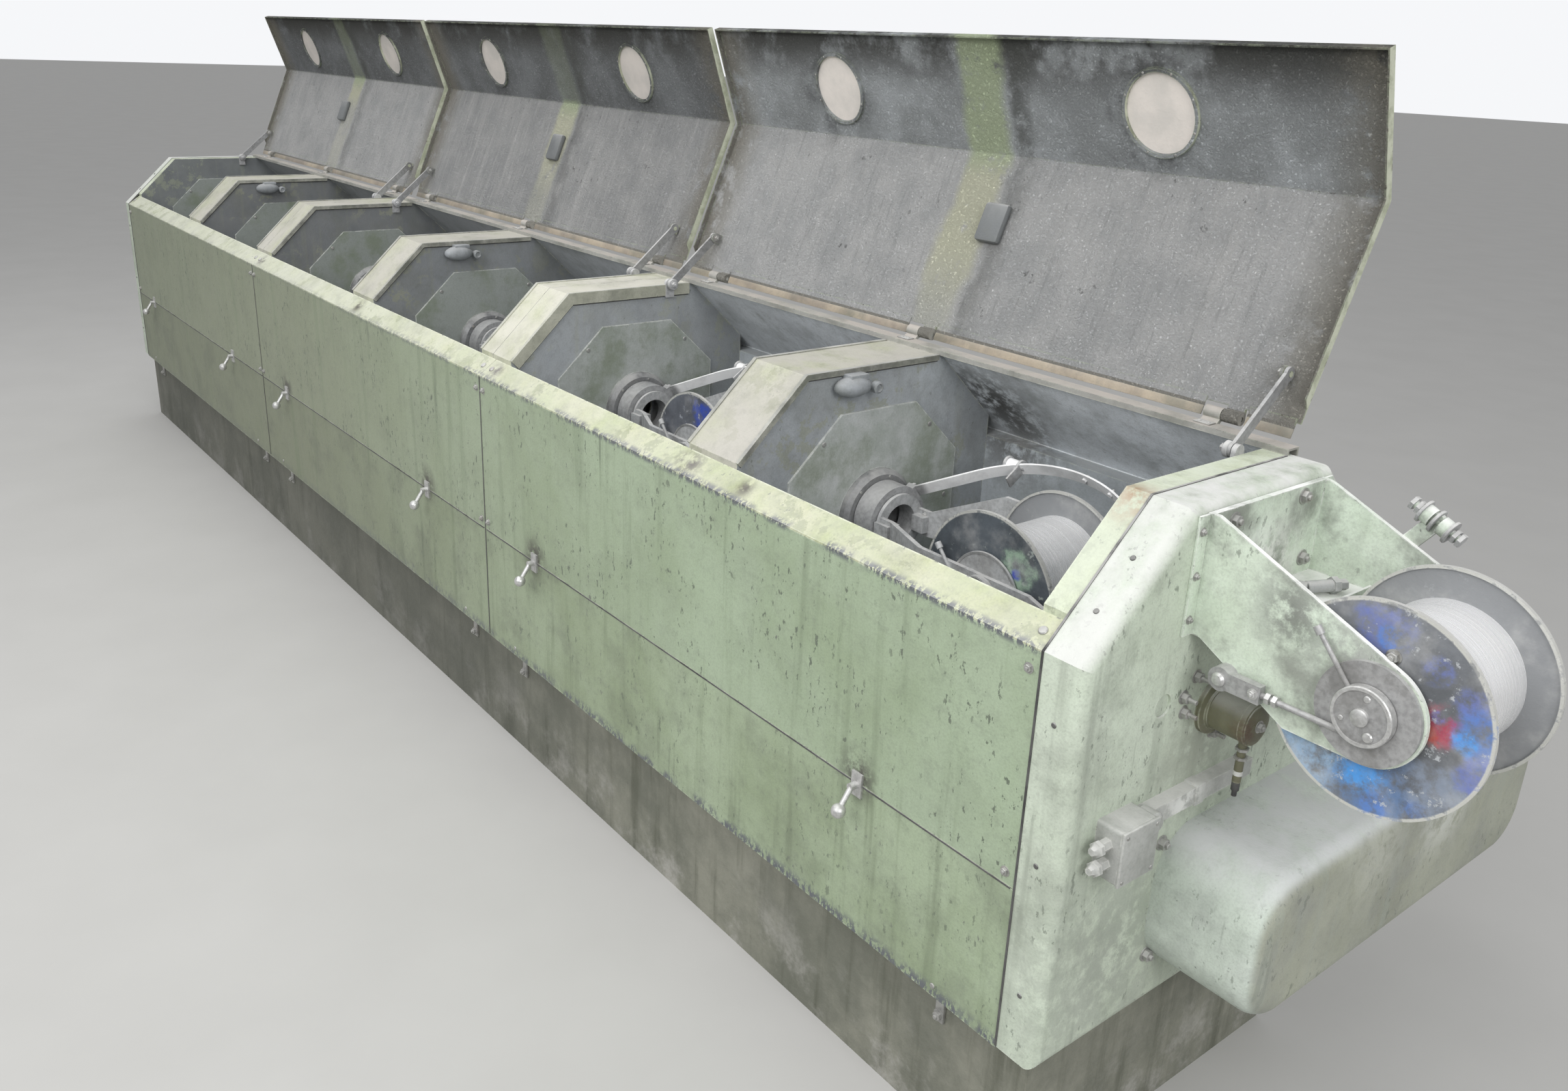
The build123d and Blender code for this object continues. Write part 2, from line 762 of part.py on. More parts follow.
# Hinge rail on the top back corner, with the fixed knuckles of every lid
knuckle_places = [middle + place * (module_length / 2 - lid_end_gap - 2 * knuckle_length)
                  for middle in module_middles for place in (-1, 0, 1)]
knuckle_half = (knuckle_length - knuckle_split) / 2
with BuildPart() as hinge_rail:
    with BuildSketch(Plane.YZ.offset(-trough_half)):
        with BuildLine():
            Polyline(
                (rail_front, crown_height),
                (rail_front, rail_top),
                (rail_back + rail_sheet, rail_top),
                (rail_back + rail_sheet, chamfer_z(rail_back + rail_sheet)),
                (rail_back, chamfer_z(rail_back)),
                (rail_back, rail_top - rail_sheet),
                (rail_front + rail_sheet, rail_top - rail_sheet),
                (rail_front + rail_sheet, crown_height),
                close=True)
        make_face()
    extrude(amount=trough_length)
    for place in knuckle_places:
        with BuildSketch(Plane.YZ.offset(place - knuckle_length / 2)):
            with BuildLine():
                Polyline(
                    (rail_back, rail_top - rail_sheet),
                    (rail_back, rail_top),
                    (hinge_side, hinge_height),
                    (hinge_side + hinge_pin_radius, hinge_height - hinge_pin_radius),
                    (rail_back + rail_sheet, rail_top - 2 * rail_sheet),
                    close=True)
            make_face()
            with Locations((hinge_side, hinge_height)):
                Circle(hinge_radius)
        extrude(amount=knuckle_half)
        with BuildSketch(Plane.YZ.offset(place - knuckle_length / 2)):
            with Locations((hinge_side, hinge_height)):
                Circle(hinge_pin_radius)
        extrude(amount=knuckle_length - knuckle_split)
save(hinge_rail.part, "hinge_rail")


def lid_point(along, out, angle):
    """Point of the lid's main panel: distance from the hinge and height above the panel's inner face."""
    return (hinge_side + along * cos(radians(angle)) + out * sin(radians(angle)),
            hinge_height + along * sin(radians(angle)) - out * cos(radians(angle)))


def bend_point(along, out):
    """Point of the lid's outer panel, counted from the bend."""
    start = lid_point(lid_main_length, 0.0, lid_open_angle)
    angle = lid_open_angle + lid_bend
    return (start[0] + along * cos(radians(angle)) + out * sin(radians(angle)),
            start[1] + along * sin(radians(angle)) - out * cos(radians(angle)))


def build_lid(middle, number):
    """Bent lid with a lip round it, two portholes and its half of the hinge knuckles."""
    length = module_length - 2 * lid_end_gap
    angle = lid_open_angle
    half_bend = radians(lid_bend / 2)
    with BuildPart() as lid:
        with BuildSketch(Plane.YZ.offset(middle - length / 2)):
            with BuildLine():
                Polyline(
                    lid_point(lid_start, 0, angle),
                    lid_point(lid_main_length, 0, angle),
                    bend_point(lid_outer_length, 0),
                    bend_point(lid_outer_length, lid_sheet),
                    lid_point(lid_main_length + lid_sheet * tan(half_bend), lid_sheet, angle),
                    lid_point(lid_start, lid_sheet, angle),
                    close=True)
            make_face()
        extrude(amount=length)
        for end in (middle - length / 2, middle + length / 2 - lid_lip_sheet):
            with BuildSketch(Plane.YZ.offset(end)):
                with BuildLine():
                    Polyline(
                        lid_point(lid_main_length, 0, angle),
                        bend_point(lid_outer_length, 0),
                        bend_point(lid_outer_length, -lid_lip),
                        lid_point(lid_main_length - lid_lip * tan(half_bend), -lid_lip, angle),
                        lid_point(lid_lip_start, -lid_lip, angle),
                        lid_point(lid_lip_start - lid_lip, 0, angle),
                        close=True)
                make_face()
            extrude(amount=lid_lip_sheet)
        with BuildSketch(Plane.YZ.offset(middle - length / 2)):
            with BuildLine():
                Polyline(
                    bend_point(lid_outer_length, 0),
                    bend_point(lid_outer_length, -lid_lip),
                    bend_point(lid_outer_length - lid_lip_sheet, -lid_lip),
                    bend_point(lid_outer_length - lid_lip_sheet, 0),
                    close=True)
            make_face()
        extrude(amount=length)
        outer_plane = Plane(origin=(middle, *bend_point(porthole_from_edge, 0)), x_dir=(1, 0, 0),
                            z_dir=(0, -sin(radians(angle + lid_bend)), cos(radians(angle + lid_bend))))
        for bay in range(bays_per_module):
            place = (bay + 0.5) * bay_pitch - module_length / 2
            with BuildSketch(outer_plane):
                with Locations((place, 0)):
                    Circle(porthole_radius + porthole_rim)
            extrude(amount=porthole_rim_height)
            with BuildSketch(outer_plane):
                with Locations((place, 0)):
                    Circle(porthole_radius)
            extrude(amount=porthole_rim_height, mode=Mode.SUBTRACT)
            with BuildSketch(outer_plane):
                with Locations((place, 0)):
                    Circle(porthole_radius)
            extrude(amount=-lid_sheet, mode=Mode.SUBTRACT)
        for place in knuckle_places[number * hinge_count:(number + 1) * hinge_count]:
            with BuildSketch(Plane.YZ.offset(place + knuckle_split / 2)):
                with Locations((hinge_side, hinge_height)):
                    Circle(hinge_radius)
                with BuildLine():
                    Polyline(
                        lid_point(0, hinge_radius, angle),
                        lid_point(lid_start + hinge_radius, lid_sheet, angle),
                        lid_point(lid_start + hinge_radius, 0, angle),
                        lid_point(0, 0, angle),
                        close=True)
                make_face()
                with Locations((hinge_side, hinge_height)):
                    Circle(hinge_pin_radius + running_gap, mode=Mode.SUBTRACT)
            extrude(amount=knuckle_half)
        for place, inward in stay_places(number):
            lug_face = place + inward * (stay_thickness / 2 + stay_gap)
            with BuildSketch(Plane.YZ.offset(lug_face)):
                with BuildLine():
                    Polyline(
                        lid_point(stay_from_hinge - stay_eye_radius, 0, angle),
                        lid_point(stay_from_hinge + stay_eye_radius, 0, angle),
                        lid_point(stay_from_hinge + stay_eye_radius, -stay_offset, angle),
                        lid_point(stay_from_hinge - stay_eye_radius, -stay_offset, angle),
                        close=True)
                make_face()
                with Locations(lid_point(stay_from_hinge, -stay_offset, angle)):
                    Circle(stay_eye_radius)
            extrude(amount=inward * stay_thickness)
            with BuildSketch(Plane.YZ.offset(lug_face)):
                with Locations(lid_point(stay_from_hinge, -stay_offset, angle)):
                    Circle(stay_pin_radius)
            extrude(amount=-inward * (stay_thickness + 2 * stay_gap))
    panes = []
    for bay in range(bays_per_module):
        place = (bay + 0.5) * bay_pitch - module_length / 2
        with BuildPart() as pane:
            with BuildSketch(outer_plane):
                with Locations((place, 0)):
                    Circle(porthole_radius - fit_gap)
            extrude(amount=-lid_sheet)
        panes.append(pane.part)
    return Compound(children=[lid.part] + panes)


stay_pivot = lid_point(stay_from_hinge, -stay_offset, lid_open_angle)
stay_stand = stay_bracket_thickness + stay_gap + stay_thickness / 2


def stay_places(number):
    """Places of the two stays of lid 0 to module_count - 1, each with its direction into the bay."""
    first_bay = number * bays_per_module + 1
    last_bay = first_bay + bays_per_module - 1
    return ((bay_left(first_bay) + stay_stand, 1), (bay_right(last_bay) - stay_stand, -1))


def build_stays(number):
    """Two flat stays of a lid, from the eye on the lid's pin to the eye beside the bracket."""
    stays = []
    for place, inward in stay_places(number):
        with BuildPart() as stay:
            with BuildSketch(Plane.YZ.offset(place - stay_thickness / 2)):
                with BuildLine():
                    Line(stay_pivot, (stay_bracket_side, stay_bracket_height))
                trace(line_width=stay_width)
                with Locations(stay_pivot, (stay_bracket_side, stay_bracket_height)):
                    Circle(stay_eye_radius)
                with Locations(stay_pivot):
                    Circle(stay_pin_radius + running_gap, mode=Mode.SUBTRACT)
            extrude(amount=stay_thickness)
        stays.append(stay.part)
    return Compound(children=stays)


def build_stay_bracket(place, inward):
    """Bracket on the wall beside a stay's lower eye."""
    with BuildPart() as bracket:
        with BuildSketch(Plane.YZ.offset(place - inward * stay_stand)):
            with Locations((stay_bracket_side, stay_bracket_height)):
                Circle(stay_eye_radius)
            with Locations((stay_bracket_side, stay_bracket_height - stay_bracket_drop / 2)):
                Rectangle(2 * stay_eye_radius, stay_bracket_drop)
        extrude(amount=inward * stay_bracket_thickness)
    return bracket.part


bracket_solids = []
for number, middle in enumerate(module_middles):
    save(build_lid(middle, number), "lid_" + str(number + 1))
    save(build_stays(number), "lid_stays_" + str(number + 1))
    bracket_solids += [build_stay_bracket(place, inward) for place, inward in stay_places(number)]
save(Compound(children=bracket_solids), "stay_brackets")

# Pay-off bracket: mounting plate, two cheeks, shelf and the raised roller arm
cheek_corner_x = cover_face + cheek_shoulder
tip_distance = ((payoff_reach - cheek_shoulder) ** 2 + (cheek_top - payoff_height) ** 2) ** 0.5
tip_angle = (degrees(atan2(payoff_height - cheek_top, payoff_reach - cheek_shoulder))
             + degrees(asin(cheek_tip_radius / tip_distance)))
tip_tangent = (payoff_x + cheek_tip_radius * sin(radians(-tip_angle)),
               payoff_height + cheek_tip_radius * cos(radians(tip_angle)))
with BuildPart() as payoff_bracket:
    with BuildSketch(Plane.XZ.offset(-cheek_back)):
        with Locations((cover_face + mount_plate_thickness / 2, (cheek_top + cheek_foot) / 2)):
            Rectangle(mount_plate_thickness, cheek_top - cheek_foot)
        with Locations((cover_face + shelf_reach / 2, shelf_height - shelf_thickness / 2)):
            Rectangle(shelf_reach, shelf_thickness)
    extrude(amount=cheek_back - cheek_front)
    for face in (cheek_front + cheek_thickness, cheek_back):
        with BuildSketch(Plane.XZ.offset(-face)):
            with BuildLine():
                Polyline(
                    (cover_face, cheek_foot),
                    (cover_face, cheek_top),
                    (cheek_corner_x, cheek_top),
                    tip_tangent,
                    (payoff_x, payoff_height),
                    (payoff_x, payoff_height - cheek_tip_radius),
                    (cover_face + cheek_throat, payoff_height - cheek_tip_radius),
                    (cover_face + cheek_shoulder, cheek_foot),
                    close=True)
            make_face()
            with Locations((payoff_x, payoff_height)):
                Circle(cheek_tip_radius)
                Circle(pintle_radius + fit_gap, mode=Mode.SUBTRACT)
        extrude(amount=cheek_thickness)
    arm_foot = (cover_face + roller_arm_foot, cheek_top - roller_arm_drop)
    arm_head = (cover_face + roller_arm_foot + roller_arm_run, cheek_top - roller_arm_drop + roller_arm_rise)
    with BuildSketch(Plane.XZ.offset(-cheek_back)):
        with BuildLine():
            Line(arm_foot, arm_head)
        trace(line_width=roller_arm_width)
        with Locations(arm_foot, arm_head):
            Circle(roller_arm_width / 2)
    extrude(amount=-roller_arm_thickness)
    roller_axis = (cos(radians(roller_tilt)), 0, -sin(radians(roller_tilt)))
    roller_middle = (arm_head[0], cheek_back + roller_arm_thickness / 2, arm_head[1])
    for radius, first, last in ((roller_radius, -roller_length / 2, -roller_length / 6),
                                (roller_radius, roller_length / 6, roller_length / 2),
                                (roller_pin_radius, -roller_length, roller_length)):
        roller_plane = Plane(origin=roller_middle, x_dir=(0, 1, 0), z_dir=roller_axis)
        with BuildSketch(roller_plane.offset(first)):
            Circle(radius)
        extrude(amount=last - first)
save(payoff_bracket.part, "payoff_bracket")

# Pay-off brake: pintle through both cheeks, two discs, a hand lever and the link to its pivot
with BuildPart() as payoff_brake:
    with BuildSketch(Plane.XZ.offset(-cheek_back)):
        with Locations((payoff_x, payoff_height)):
            Circle(pintle_radius)
    extrude(amount=cheek_back - cheek_front)
    with BuildSketch(Plane.XZ.offset(-cheek_front)):
        with Locations((payoff_x, payoff_height)):
            Circle(payoff_disc_radius)
    extrude(amount=payoff_disc_thickness)
    with BuildSketch(Plane.XZ.offset(-cheek_front + payoff_disc_thickness)):
        with Locations((payoff_x, payoff_height)):
            Circle(brake_cap_radius)
    extrude(amount=payoff_cap_thickness)
    with BuildSketch(Plane.XZ.offset(-cheek_front)):
        with Locations((cover_face + link_boss_reach, link_height)):
            Circle(link_boss_radius)
    extrude(amount=payoff_disc_thickness + payoff_cap_thickness)
    link_side = cheek_front - payoff_disc_thickness - payoff_cap_thickness / 2
    with BuildSketch(Plane(origin=(cover_face + link_boss_reach, link_side, link_height),
                           x_dir=(0, 1, 0), z_dir=(1, 0, 0))):
        Circle(link_radius)
    extrude(amount=payoff_reach - link_boss_reach)
    with BuildSketch(Plane(origin=(cover_face + link_boss_reach, link_side, link_height),
                           x_dir=(0, 1, 0), z_dir=(1, 0, 0))):
        Rectangle(payoff_cap_thickness, 2 * payoff_cap_thickness)
    extrude(amount=link_fork_length)
    lever_direction = (-sin(radians(lever_lean)), 0, cos(radians(lever_lean)))
    lever_plane = Plane(origin=(payoff_x, link_side, payoff_height), x_dir=(0, 1, 0), z_dir=lever_direction)
    with BuildSketch(lever_plane.offset(brake_cap_radius / 2)):
        Circle(lever_radius)
    extrude(amount=brake_cap_radius / 2 + lever_length)
    with BuildSketch(lever_plane.offset(brake_cap_radius + lever_length)):
        Circle(lever_knob_radius)
    extrude(amount=2 * lever_knob_radius)
save(payoff_brake.part, "payoff_brake")

# Drive guard: a long rounded box over the belts at the foot of the end cover
with BuildPart() as drive_guard:
    with BuildSketch(Plane.YZ.offset(cover_face)):
        with BuildLine():
            FilletPolyline(
                (guard_front, guard_bottom),
                (guard_front, guard_top),
                (guard_back, guard_top),
                (guard_back, guard_bottom),
                radius=guard_corner, close=True)
        make_face()
        guard_outline = offset(amount=0, mode=Mode.PRIVATE)
    extrude(amount=guard_depth)
    fillet(drive_guard.faces().sort_by(Axis.X)[-1].edges(), guard_edge_radius)
    with BuildSketch(Plane.YZ.offset(cover_face)):
        offset(guard_outline, amount=-guard_sheet, mode=Mode.ADD)
    extrude(amount=guard_depth - guard_edge_radius, mode=Mode.SUBTRACT)
    with BuildSketch(Plane.YZ.offset(cover_face)):
        offset(guard_outline, amount=-guard_edge_radius, mode=Mode.ADD)
    extrude(amount=guard_depth - guard_sheet, mode=Mode.SUBTRACT)
save(drive_guard.part, "drive_guard")

# Shaft housing with its speed sensor
with BuildPart() as shaft_housing:
    with BuildSketch(Plane.YZ.offset(cover_face)):
        with Locations((housing_side, housing_height)):
            Circle(housing_radius)
    extrude(amount=housing_length)
    sensor_at = cover_face + housing_length - sensor_from_end
    with BuildSketch(Plane.XY.offset(housing_height - housing_radius - sensor_length)):
        with Locations((sensor_at, housing_side)):
            Circle(sensor_radius)
    extrude(amount=sensor_length + housing_radius / 2)
save(shaft_housing.part, "shaft_housing")

# Switch box with its cable glands and the flat duct beside it
with BuildPart() as switch_box:
    with BuildSketch(Plane.YZ.offset(cover_face)):
        with Locations((box_side, box_height)):
            RectangleRounded(box_width, box_tall, box_corner)
    extrude(amount=box_depth)
    duct_start = box_side + box_width / 2
    with BuildSketch(Plane.YZ.offset(cover_face)):
        with Locations(((duct_start + duct_end) / 2, box_height + duct_rise)):
            Rectangle(duct_end - duct_start, duct_width)
    extrude(amount=duct_depth)
    with BuildSketch(Plane.XZ.offset(-box_side + box_width / 2)):
        for level in (-gland_pitch / 2, gland_pitch / 2):
            with Locations((cover_face + box_depth / 2, box_height + level)):
                RegularPolygon(gland_radius, 6)
    extrude(amount=gland_length)
save(switch_box.part, "switch_box")

# Latches over the seam between the upper and lower panels
latch_solids = []
for middle in module_middles:
    for from_end in latch_offsets:
        place = middle + module_length / 2 - from_end
        with BuildPart() as latch:
            with BuildSketch(Plane.XZ.offset(half_width)):
                with Locations((place, panel_seam_height)):
                    Rectangle(latch_plate_width, latch_plate_height)
            extrude(amount=latch_plate_thickness)
            with BuildSketch(Plane.XZ.offset(half_width)):
                with Locations((place, panel_seam_height)):
                    Circle(latch_stem_radius)
            extrude(amount=latch_stem_length)
            lever_side = -half_width - latch_stem_length + latch_lever_radius
            lever_base = Plane(origin=(place, lever_side, panel_seam_height), x_dir=(1, 0, 0),
                               z_dir=(0, -sin(radians(latch_lean)), -cos(radians(latch_lean))))
            with BuildSketch(lever_base):
                Circle(latch_lever_radius)
            extrude(amount=latch_lever_length)
            with Locations(lever_base.offset(latch_lever_length)):
                Sphere(latch_ball_radius)
        latch_solids.append(latch.part)
save(Compound(children=latch_solids), "latches")
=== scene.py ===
from math import cos, pi, radians, sin, tan
import bpy
import bmesh
from mathutils import Matrix, Vector


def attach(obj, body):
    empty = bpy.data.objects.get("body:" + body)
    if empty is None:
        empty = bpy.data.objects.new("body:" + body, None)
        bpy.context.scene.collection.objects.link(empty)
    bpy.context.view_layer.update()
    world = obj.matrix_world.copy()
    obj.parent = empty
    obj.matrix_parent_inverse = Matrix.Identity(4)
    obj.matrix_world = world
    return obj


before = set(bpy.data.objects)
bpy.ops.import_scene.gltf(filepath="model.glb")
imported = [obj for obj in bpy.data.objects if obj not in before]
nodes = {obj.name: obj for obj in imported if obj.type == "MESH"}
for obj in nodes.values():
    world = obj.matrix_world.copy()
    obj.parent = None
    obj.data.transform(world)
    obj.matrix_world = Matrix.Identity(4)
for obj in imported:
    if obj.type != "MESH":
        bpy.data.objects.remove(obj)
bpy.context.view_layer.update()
scene = bpy.context.scene
X = Vector((1, 0, 0))
Y = Vector((0, 1, 0))
Z = Vector((0, 0, 1))

# Main places in metres, as in the CAD
TROUGH = 3.54
WALL = 0.512
INNER = 0.45
SHOULDER = 1.304
CROWN = 1.56
CROWN_HALF = 0.242
PLINTH = 0.384
SEAM = 0.776
FACE = 3.641
MODULE = 2.36
AXIS = Vector((0, 0.015, 1.15))
PAYOFF = Vector((4.005, -0.049, 1.295))
HINGE = Vector((0, 0.285, 1.592))
LID_ANGLE = radians(67)
LID_BEND = radians(42)
LID_MAIN = 0.528
LID_HALF = 1.158
BAY_OFFSETS = (-0.59, 0.59)
HINGE_OFFSETS = (-0.98, 0, 0.98)
MODULE_MIDDLES = (-MODULE, 0.0, MODULE)
MODULE_SEAMS = (-MODULE / 2, MODULE / 2)
END_FACE = 3.48
BULKHEADS = (-2.33, -1.18, 0.03, 1.18, 2.39)
BULKHEAD_HALF = 0.104
NEAR_FACES = [-END_FACE] + [centre + BULKHEAD_HALF for centre in BULKHEADS]
FAR_FACES = [centre - BULKHEAD_HALF for centre in BULKHEADS] + [END_FACE]
ROTOR_STARTS = [BULKHEAD_HALF - END_FACE] + NEAR_FACES[1:]
BOBBIN_MIDDLES = [start + 0.57 for start in ROTOR_STARTS]
BOBBIN_SIDE = -0.005
EDGE_WIDTH = 0.006
SMOOTH_ANGLE = radians(38)
SUNK = 0.0004


def shade(tone, factor):
    return [channel * factor for channel in tone]


def round_x(degrees):
    """Unit vector at an angle round the X axis, from +Y towards +Z."""
    return Vector((0, cos(radians(degrees)), sin(radians(degrees))))


def round_y(degrees):
    """Unit vector at an angle round the Y axis, from +X towards +Z."""
    return Vector((cos(radians(degrees)), 0, sin(radians(degrees))))


class Shader:
    """Builds one procedural material from nodes."""

    def __init__(self, name, **constants):
        self.material = bpy.data.materials.new(name)
        self.material.use_nodes = True
        self.tree = self.material.node_tree
        self.bsdf = self.tree.nodes["Principled BSDF"]
        self.coords = self.node("TexCoord")
        self.color = None
        for socket, value in constants.items():
            self.bsdf.inputs[socket.replace("_", " ")].default_value = value

    def link(self, source, target):
        if isinstance(source, bpy.types.NodeSocket):
            self.tree.links.new(source, target)
        elif target.type == "RGBA" and len(source) == 3:
            target.default_value = (*source, 1.0)
        else:
            target.default_value = source

    def node(self, kind, values=None, **settings):
        """New node with its settings made and its inputs linked or set."""
        made = self.tree.nodes.new("ShaderNode" + kind)
        for setting, value in settings.items():
            setattr(made, setting, value)
        for socket, value in (values or {}).items():
            self.link(value, made.inputs[socket])
        return made

    def scaled(self, scale=(1, 1, 1)):
        """Object coordinates stretched by a factor on each axis."""
        values = {"Vector": self.coords.outputs["Object"], "Scale": scale}
        return self.node("Mapping", values).outputs["Vector"]

    def noise(self, scale, detail=4.0, rough=0.55, stretch=(1, 1, 1)):
        values = {"Vector": self.scaled(stretch), "Scale": scale, "Detail": detail, "Roughness": rough}
        return self.node("TexNoise", values).outputs["Fac"]

    def step(self, value, low, high):
        """Smooth step from 0 at low to 1 at high; low may be the larger."""
        values = {"Value": value, "From Min": min(low, high), "From Max": max(low, high)}
        if low > high:
            values.update({"To Min": 1.0, "To Max": 0.0})
        return self.node("MapRange", values, interpolation_type="SMOOTHSTEP").outputs["Result"]

    def cloud(self, low, high, *noise):
        """Noise cut by a smooth step between two of its values."""
        return self.step(self.noise(*noise), low, high)

    def math(self, kind, first, second=0.0):
        return self.node("Math", {0: first, 1: second}, operation=kind).outputs[0]

    def times(self, *values):
        result = values[0]
        for value in values[1:]:
            result = self.math("MULTIPLY", result, value)
        return result

    def mix(self, factor, first, second):
        return self.node("Mix", {0: factor, 6: first, 7: second}, data_type="RGBA").outputs[2]

    def over(self, color, tone, *amounts):
        """Lays a tone over a colour by the product of the amounts."""
        return self.mix(self.times(*amounts), color, tone)

    def lay(self, tone, *amounts):
        """Lays a tone over the material's colour so far."""
        self.color = self.over(self.color, tone, *amounts)

    def blend(self, factor, first, second):
        return self.node("Mix", {0: factor, 2: first, 3: second}).outputs[0]

    def axis(self, name, source="Object"):
        return self.node("SeparateXYZ", {0: self.coords.outputs[source]}).outputs[name]

    def distance(self, place, stretch=(1, 1, 1)):
        """Distance from a place on the object, with both stretched on each axis."""
        values = {0: self.scaled(stretch), 1: [p * s for p, s in zip(place, stretch)]}
        return self.node("VectorMath", values, operation="DISTANCE").outputs["Value"]

    def near(self, centre, radius, ragged=0.0):
        """1 at a place on the object, falling to 0 at a radius that varies by the ragged distance."""
        distance = self.distance(centre)
        if ragged:
            shift = self.math("SUBTRACT", self.noise(14, 5, 0.7), 0.5)
            distance = self.math("ADD", distance, self.math("MULTIPLY", shift, ragged))
        return self.step(distance, radius, 0.0)

    def edges(self):
        """1 along outer edges, 0 on flat faces."""
        bevel = self.node("Bevel", {"Radius": EDGE_WIDTH}, samples=6)
        normals = {0: bevel.outputs["Normal"], 1: self.node("NewGeometry").outputs["Normal"]}
        product = self.node("VectorMath", normals, operation="DOT_PRODUCT")
        return self.step(product.outputs["Value"], 0.995, 0.90)

    def bump(self, *layers):
        """Each layer is a height and its distance in metres."""
        normal = None
        for height, distance in layers:
            node = self.node("Bump", {"Strength": 1.0, "Distance": distance, "Height": height})
            if normal:
                self.link(normal, node.inputs["Normal"])
            normal = node.outputs["Normal"]
        self.link(normal, self.bsdf.inputs["Normal"])

    def finish(self, rough, metal=None):
        self.link(self.color, self.bsdf.inputs["Base Color"])
        self.link(rough, self.bsdf.inputs["Roughness"])
        if metal is not None:
            self.link(metal, self.bsdf.inputs["Metallic"])
        return self.material


DUST = (0.60, 0.595, 0.575)
PRIMER = (0.13, 0.14, 0.12)
DRIP = (0.095, 0.115, 0.085)
BARE = (0.105, 0.115, 0.125)
OIL = (0.09, 0.085, 0.075)
RUST = (0.20, 0.10, 0.045)


def paint(name, light, deep, dust=0.5, dust_low=0.35, chip=0.5, grime=0.0, streak=0.25, mottle=2.2,
          edge=0.5, edge_color=(0.72, 0.75, 0.60), far=None, rough=0.5, dents=0.0, patches=(), side=None,
          band=None, runs=0.0, dust_tone=DUST, grime_tone=(0.10, 0.11, 0.085), flakes=0.0):
    """Old brushed machine paint under workshop dust.

    side is (axis, low, high, tone) for faces that look that way, that tone darkened towards the far end as
    painted shade, far the tone at the far end, band two heights between which the paint is torn, runs thin
    dark drips, and flakes patches of bare old paint."""
    s = Shader(name, Specular_IOR_Level=0.4)
    s.color = s.mix(s.cloud(0.35, 0.68, mottle, 5, 0.6), light, deep)
    if far:
        s.lay(far, s.step(s.axis("X"), 2.7, -0.9))
    if side:
        facing, low, high, tone = side
        cloudy = s.mix(s.cloud(0.35, 0.66, 3.4, 5, 0.6), tone, shade(tone, 0.74))
        # Painted shade: the turned faces' tone darkens towards the far end.
        cloudy = s.over(cloudy, shade(tone, 0.25), s.step(s.axis("X"), 2.6, -1.2), 0.85)
        turned = s.axis(facing, "Normal")
        s.lay(cloudy, s.step(s.math("ABSOLUTE", turned) if low > 0 else turned, low, high))
    if flakes:
        old = (s.cloud(0.54, 0.58, 13, 6, 0.7), s.cloud(0.44, 0.6, 2.4, 2), flakes)
        s.lay(shade(deep, 0.66), *old)
    fine = s.noise(38, 4, 0.65)
    s.lay(PRIMER, s.step(fine, 0.5, 0.72), 0.2)
    s.lay(PRIMER, s.cloud(0.45, 0.62, 190, 3, 0.7), 0.14)
    s.lay(shade(deep, 0.62), s.cloud(0.52, 0.74, 22, 3, 0.6, (1, 1, 0.055)), streak)
    if grime:
        s.lay(grime_tone, s.cloud(0.45, 0.66, 5.5, 6, 0.65), grime)
    if runs:
        drip = s.times(s.cloud(0.63, 0.70, 44, 2, 0.5, (1, 1, 0.05)), s.cloud(0.54, 0.68, 2.6, 3), runs, 0.6)
        marks = s.times(s.cloud(0.605, 0.64, 66, 4, 0.65, (1, 1, 0.5)), s.cloud(0.44, 0.56, 5.3, 3), runs)
        s.lay(DRIP, s.math("MAXIMUM", drip, marks))
    for centre, radius, tone, amount in patches:
        s.lay(tone, s.near(centre, radius), s.cloud(0.36, 0.56, 24, 5, 0.7), amount)
    rim = s.edges()
    s.lay(edge_color, rim, s.cloud(0.38, 0.62, 26, 5, 0.7), edge)
    spots = s.times(s.cloud(0.63, 0.68, 46, 5, 0.72, (1, 1, 0.6)), s.cloud(0.42, 0.60, 3.3, 2), chip)
    rim_chips = s.times(rim, s.cloud(0.58, 0.63, 55, 4, 0.7), chip)
    s.lay(PRIMER, s.math("MAXIMUM", spots, rim_chips))
    if band:
        torn = (s.step(s.axis("Z"), *band), s.cloud(0.46, 0.50, 55, 5, 0.75, (1.4, 1, 0.7)),
                s.cloud(0.36, 0.46, 7, 3, 0.6), s.blend(s.step(s.axis("X"), -1.0, 2.4), 0.25, 1.0))
        s.lay(BARE, *torn)
    up = s.step(s.axis("Z", "Normal"), dust_low, 0.95)
    settled = s.times(s.math("ADD", up, 0.12), s.cloud(0.22, 0.62, 9, 6, 0.62), dust)
    s.lay(dust_tone, settled)
    layers = [(s.noise(160, 3, 0.6), 0.0006), (fine, 0.0012)]
    if dents:
        layers.append((s.noise(2.6, 2, 0.4), dents))
    s.bump(*layers)
    return s.finish(s.blend(settled, rough, 0.93))


